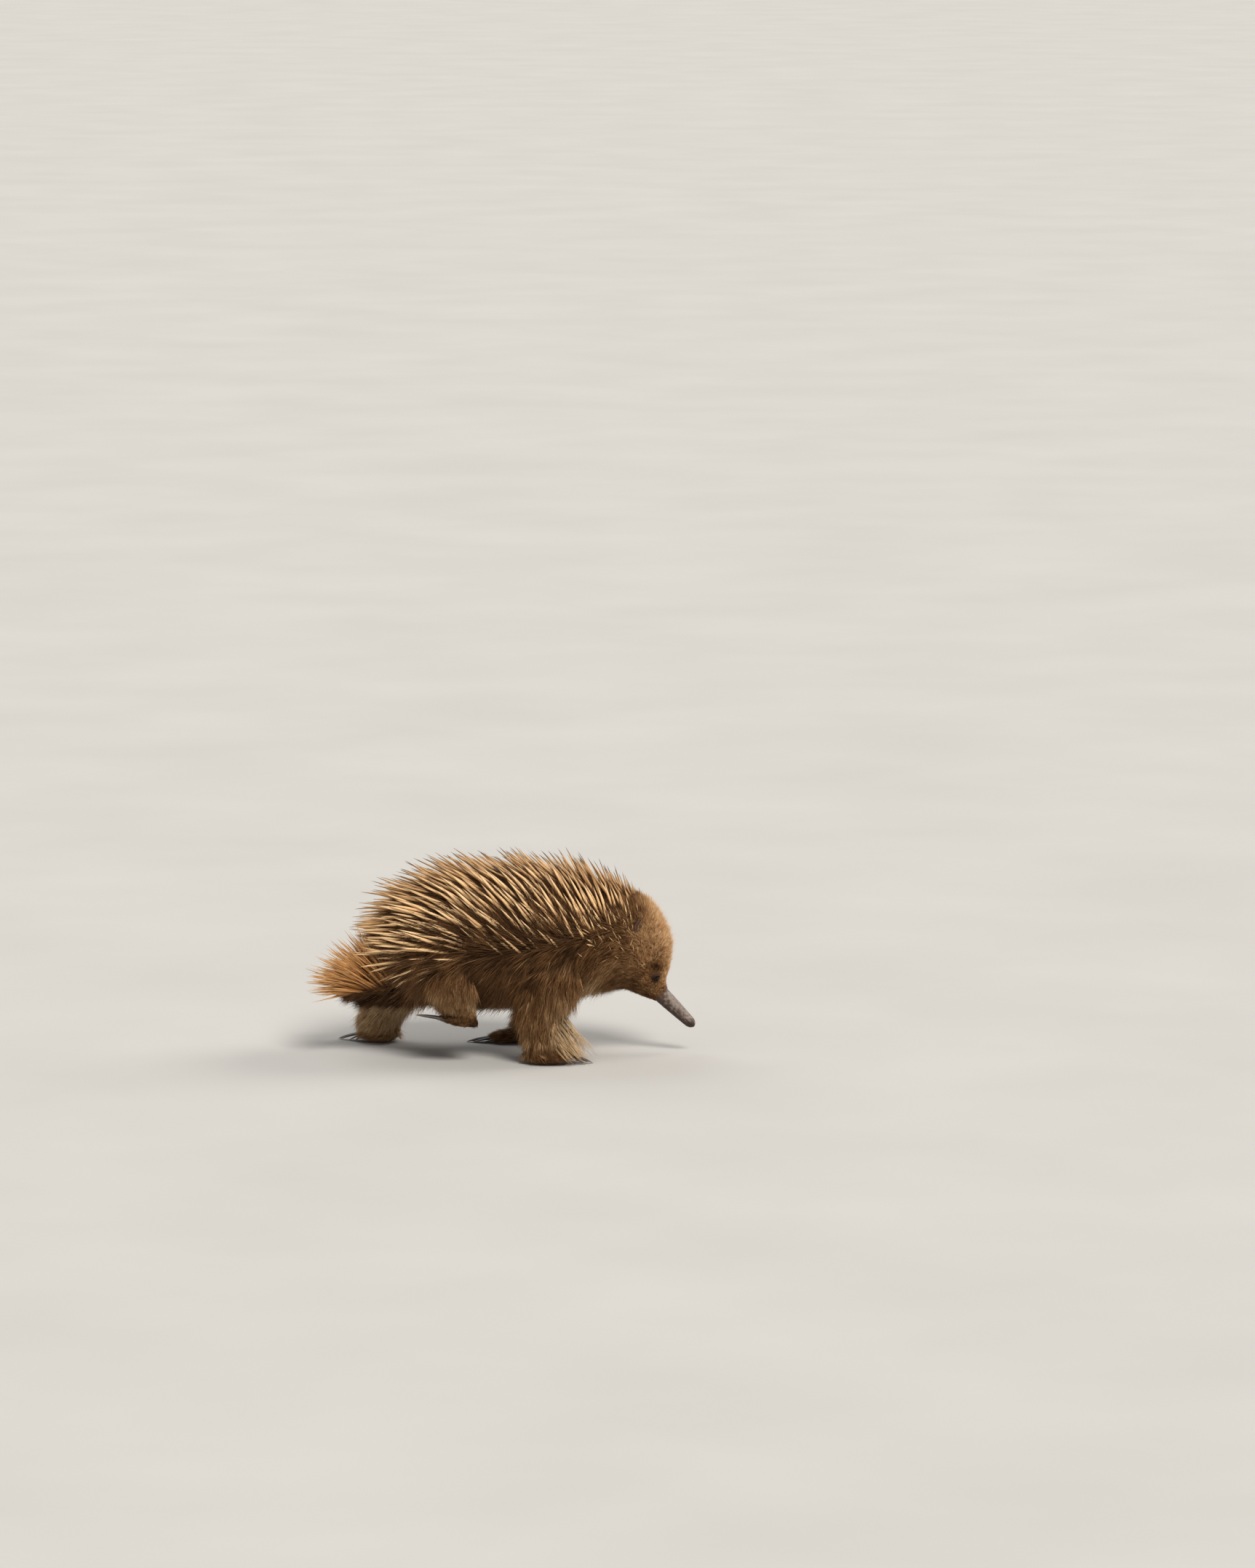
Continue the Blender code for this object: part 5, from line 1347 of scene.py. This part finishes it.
# Long pale locks hang forward from the front of the right foreleg, low down
FRINGE_TOP, FRINGE_PUSH = 0.056, np.array([0.80, 0.0, -0.20])
body = face_region == REGIONS.index("body")
face_t, face_turned = guide_t[face_guide], np.degrees(np.abs(guide_angle[face_guide]))
left = face_middles[:, 1] > 0
for seed, (word, side) in enumerate((("right", ~left), ("left", left))):
    spined, plain = body & side & (face_spined > 0.5), body & side & (face_spined <= 0.5)
    mantle = spined & (face_t < 6.6)
    neck = plain & (face_t >= 5.6) & (face_t < 7.1) | spined & (face_t >= 6.6) & (face_t < 7.1)
    face = body & side & (face_t >= 7.1)
    halo = body & side & (face_t >= 5.9) & (face_t < 9.2) & (face_turned < 75.0)
    for name, chosen, count, width, rows, slot, node, first_seed, *lean_long_pale in (
        ("underfur_", mantle, 17000, 0.00095, 1, "coat", "torso", 20, 0.3),
        ("guard_hair_", mantle & (face_t < 5.6), 5800, 0.00060, 2, "coat", "torso", 24, 0.2, 1.8, 0.03),
        ("flank_fur_", plain & (face_t < 5.6), 11200, 0.00095, 2, "coat", "torso", 30),
        ("neck_fur_", neck, 7800, 0.00080, 2, "coat", "neck", 40, 0.4),
        ("face_fur_", face, 34000, 0.00060, 1, "face_fur", "head", 50, 0.35),
        # The crown's standing hairs are paler: painted light on the crown
        ("crown_fur_", halo, 3500, 0.00050, 2, "face_fur", "head", 56, 0.2, 1.35, 0.08),
    ):
        grow_fur(name + word, chosen, count, width, rows, slot, node, first_seed + seed, *lean_long_pale)
for seed, (limb, node) in enumerate((
    ("foreleg_right", "upper_foreleg_right"), ("foreleg_left", "upper_foreleg_left"),
    ("hindleg_right", "thigh_right"), ("hindleg_left", "thigh_left"),
)):
    leg = face_region == REGIONS.index(limb)
    grow_fur("fur_" + limb, leg, 6900, 0.00090, 2, "coat", node, 60 + seed)
    if limb == "foreleg_right":
        locks = leg & (face_middles[:, 2] < FRINGE_TOP) & (face_ahead > 0.15)
        grow_fur("fringe_" + limb, locks, 170, 0.00110, 3, "coat", node, 64, 0.1, 2.4, 0.34, FRINGE_PUSH)
for seed, paw in enumerate(PAWS):
    top = face_region == REGIONS.index(paw)
    grow_fur("fur_" + paw, top, 4200, 0.00070, 1, "paw_skin", paw, 70 + seed, 0.35)
grow_fur("tail_fur", face_region == REGIONS.index("tail"), 5500, 0.00095, 2, "tail_tuft", "tail", 80)

# The studio
# A plain pale floor under soft even light: a broad key lamp, one on the animal's face, a weak one behind.
# The camera stands low and far off, square to the animal's right side, as the picture was taken.
FLOOR_HALF = 90.0
floor_corners = np.array([(-1.0, -1.0, 0.0), (1.0, -1.0, 0.0), (1.0, 1.0, 0.0), (-1.0, 1.0, 0.0)])
floor = mesh_object("studio_floor", floor_corners * FLOOR_HALF, np.array([[0, 1, 2, 3]]))
material, tree, shader = new_finish("studio_floor", 0.9, 0.1)
cloudy = noise_of(tree, place_of(tree), 3.0)
feed(tree, ramp_of(tree, cloudy, ((0.3, (0.50, 0.488, 0.468)), (0.7, (0.53, 0.518, 0.498)))),
     shader.inputs["Base Color"])
floor.data.materials.append(material)


def lamp(name, place, power, spread, colour):
    """A broad far lamp that shines evenly from a place towards the middle of the floor."""
    data = bpy.data.lights.new(name, "SUN")
    data.angle = np.radians(spread)
    data.energy = power
    data.color = colour
    made = bpy.data.objects.new(name, data)
    bpy.context.scene.collection.objects.link(made)
    made.location = place
    toward = unit(-np.array(place))
    made.rotation_euler = (np.arccos(-toward[2]), 0.0, np.arctan2(toward[1], toward[0]) - np.pi / 2)


lamp("key", (0.8, -1.8, 2.0), 2.9, 24.0, (1.0, 0.96, 0.90))
lamp("front", (2.0, 0.9, 1.5), 1.3, 30.0, (1.0, 0.96, 0.90))
lamp("back", (-1.2, 1.8, 1.8), 0.8, 40.0, (0.96, 0.98, 1.0))
scene = bpy.context.scene
scene.world = bpy.data.worlds.new("studio")
scene.world.use_nodes = True
background = scene.world.node_tree.nodes["Background"]
background.inputs["Color"].default_value = (1.0, 0.985, 0.96, 1.0)
background.inputs["Strength"].default_value = 0.36
scene.view_settings.view_transform = "Standard"

CAMERA_AIM = np.array([0.133, 0.0, 0.2915])
CAMERA_FAR, CAMERA_RISE = 8.0, np.radians(8.0)
FRAME_HIGH = 1.6817
camera_data = bpy.data.cameras.new("camera")
camera = bpy.data.objects.new("camera", camera_data)
scene.collection.objects.link(camera)
camera.location = CAMERA_AIM + CAMERA_FAR * np.array([0.0, -np.cos(CAMERA_RISE), np.sin(CAMERA_RISE)])
camera.rotation_euler = (np.pi / 2 - CAMERA_RISE, 0.0, 0.0)
camera_data.sensor_width = 36.0
camera_data.lens = camera_data.sensor_width * CAMERA_FAR / FRAME_HIGH
scene.camera = camera
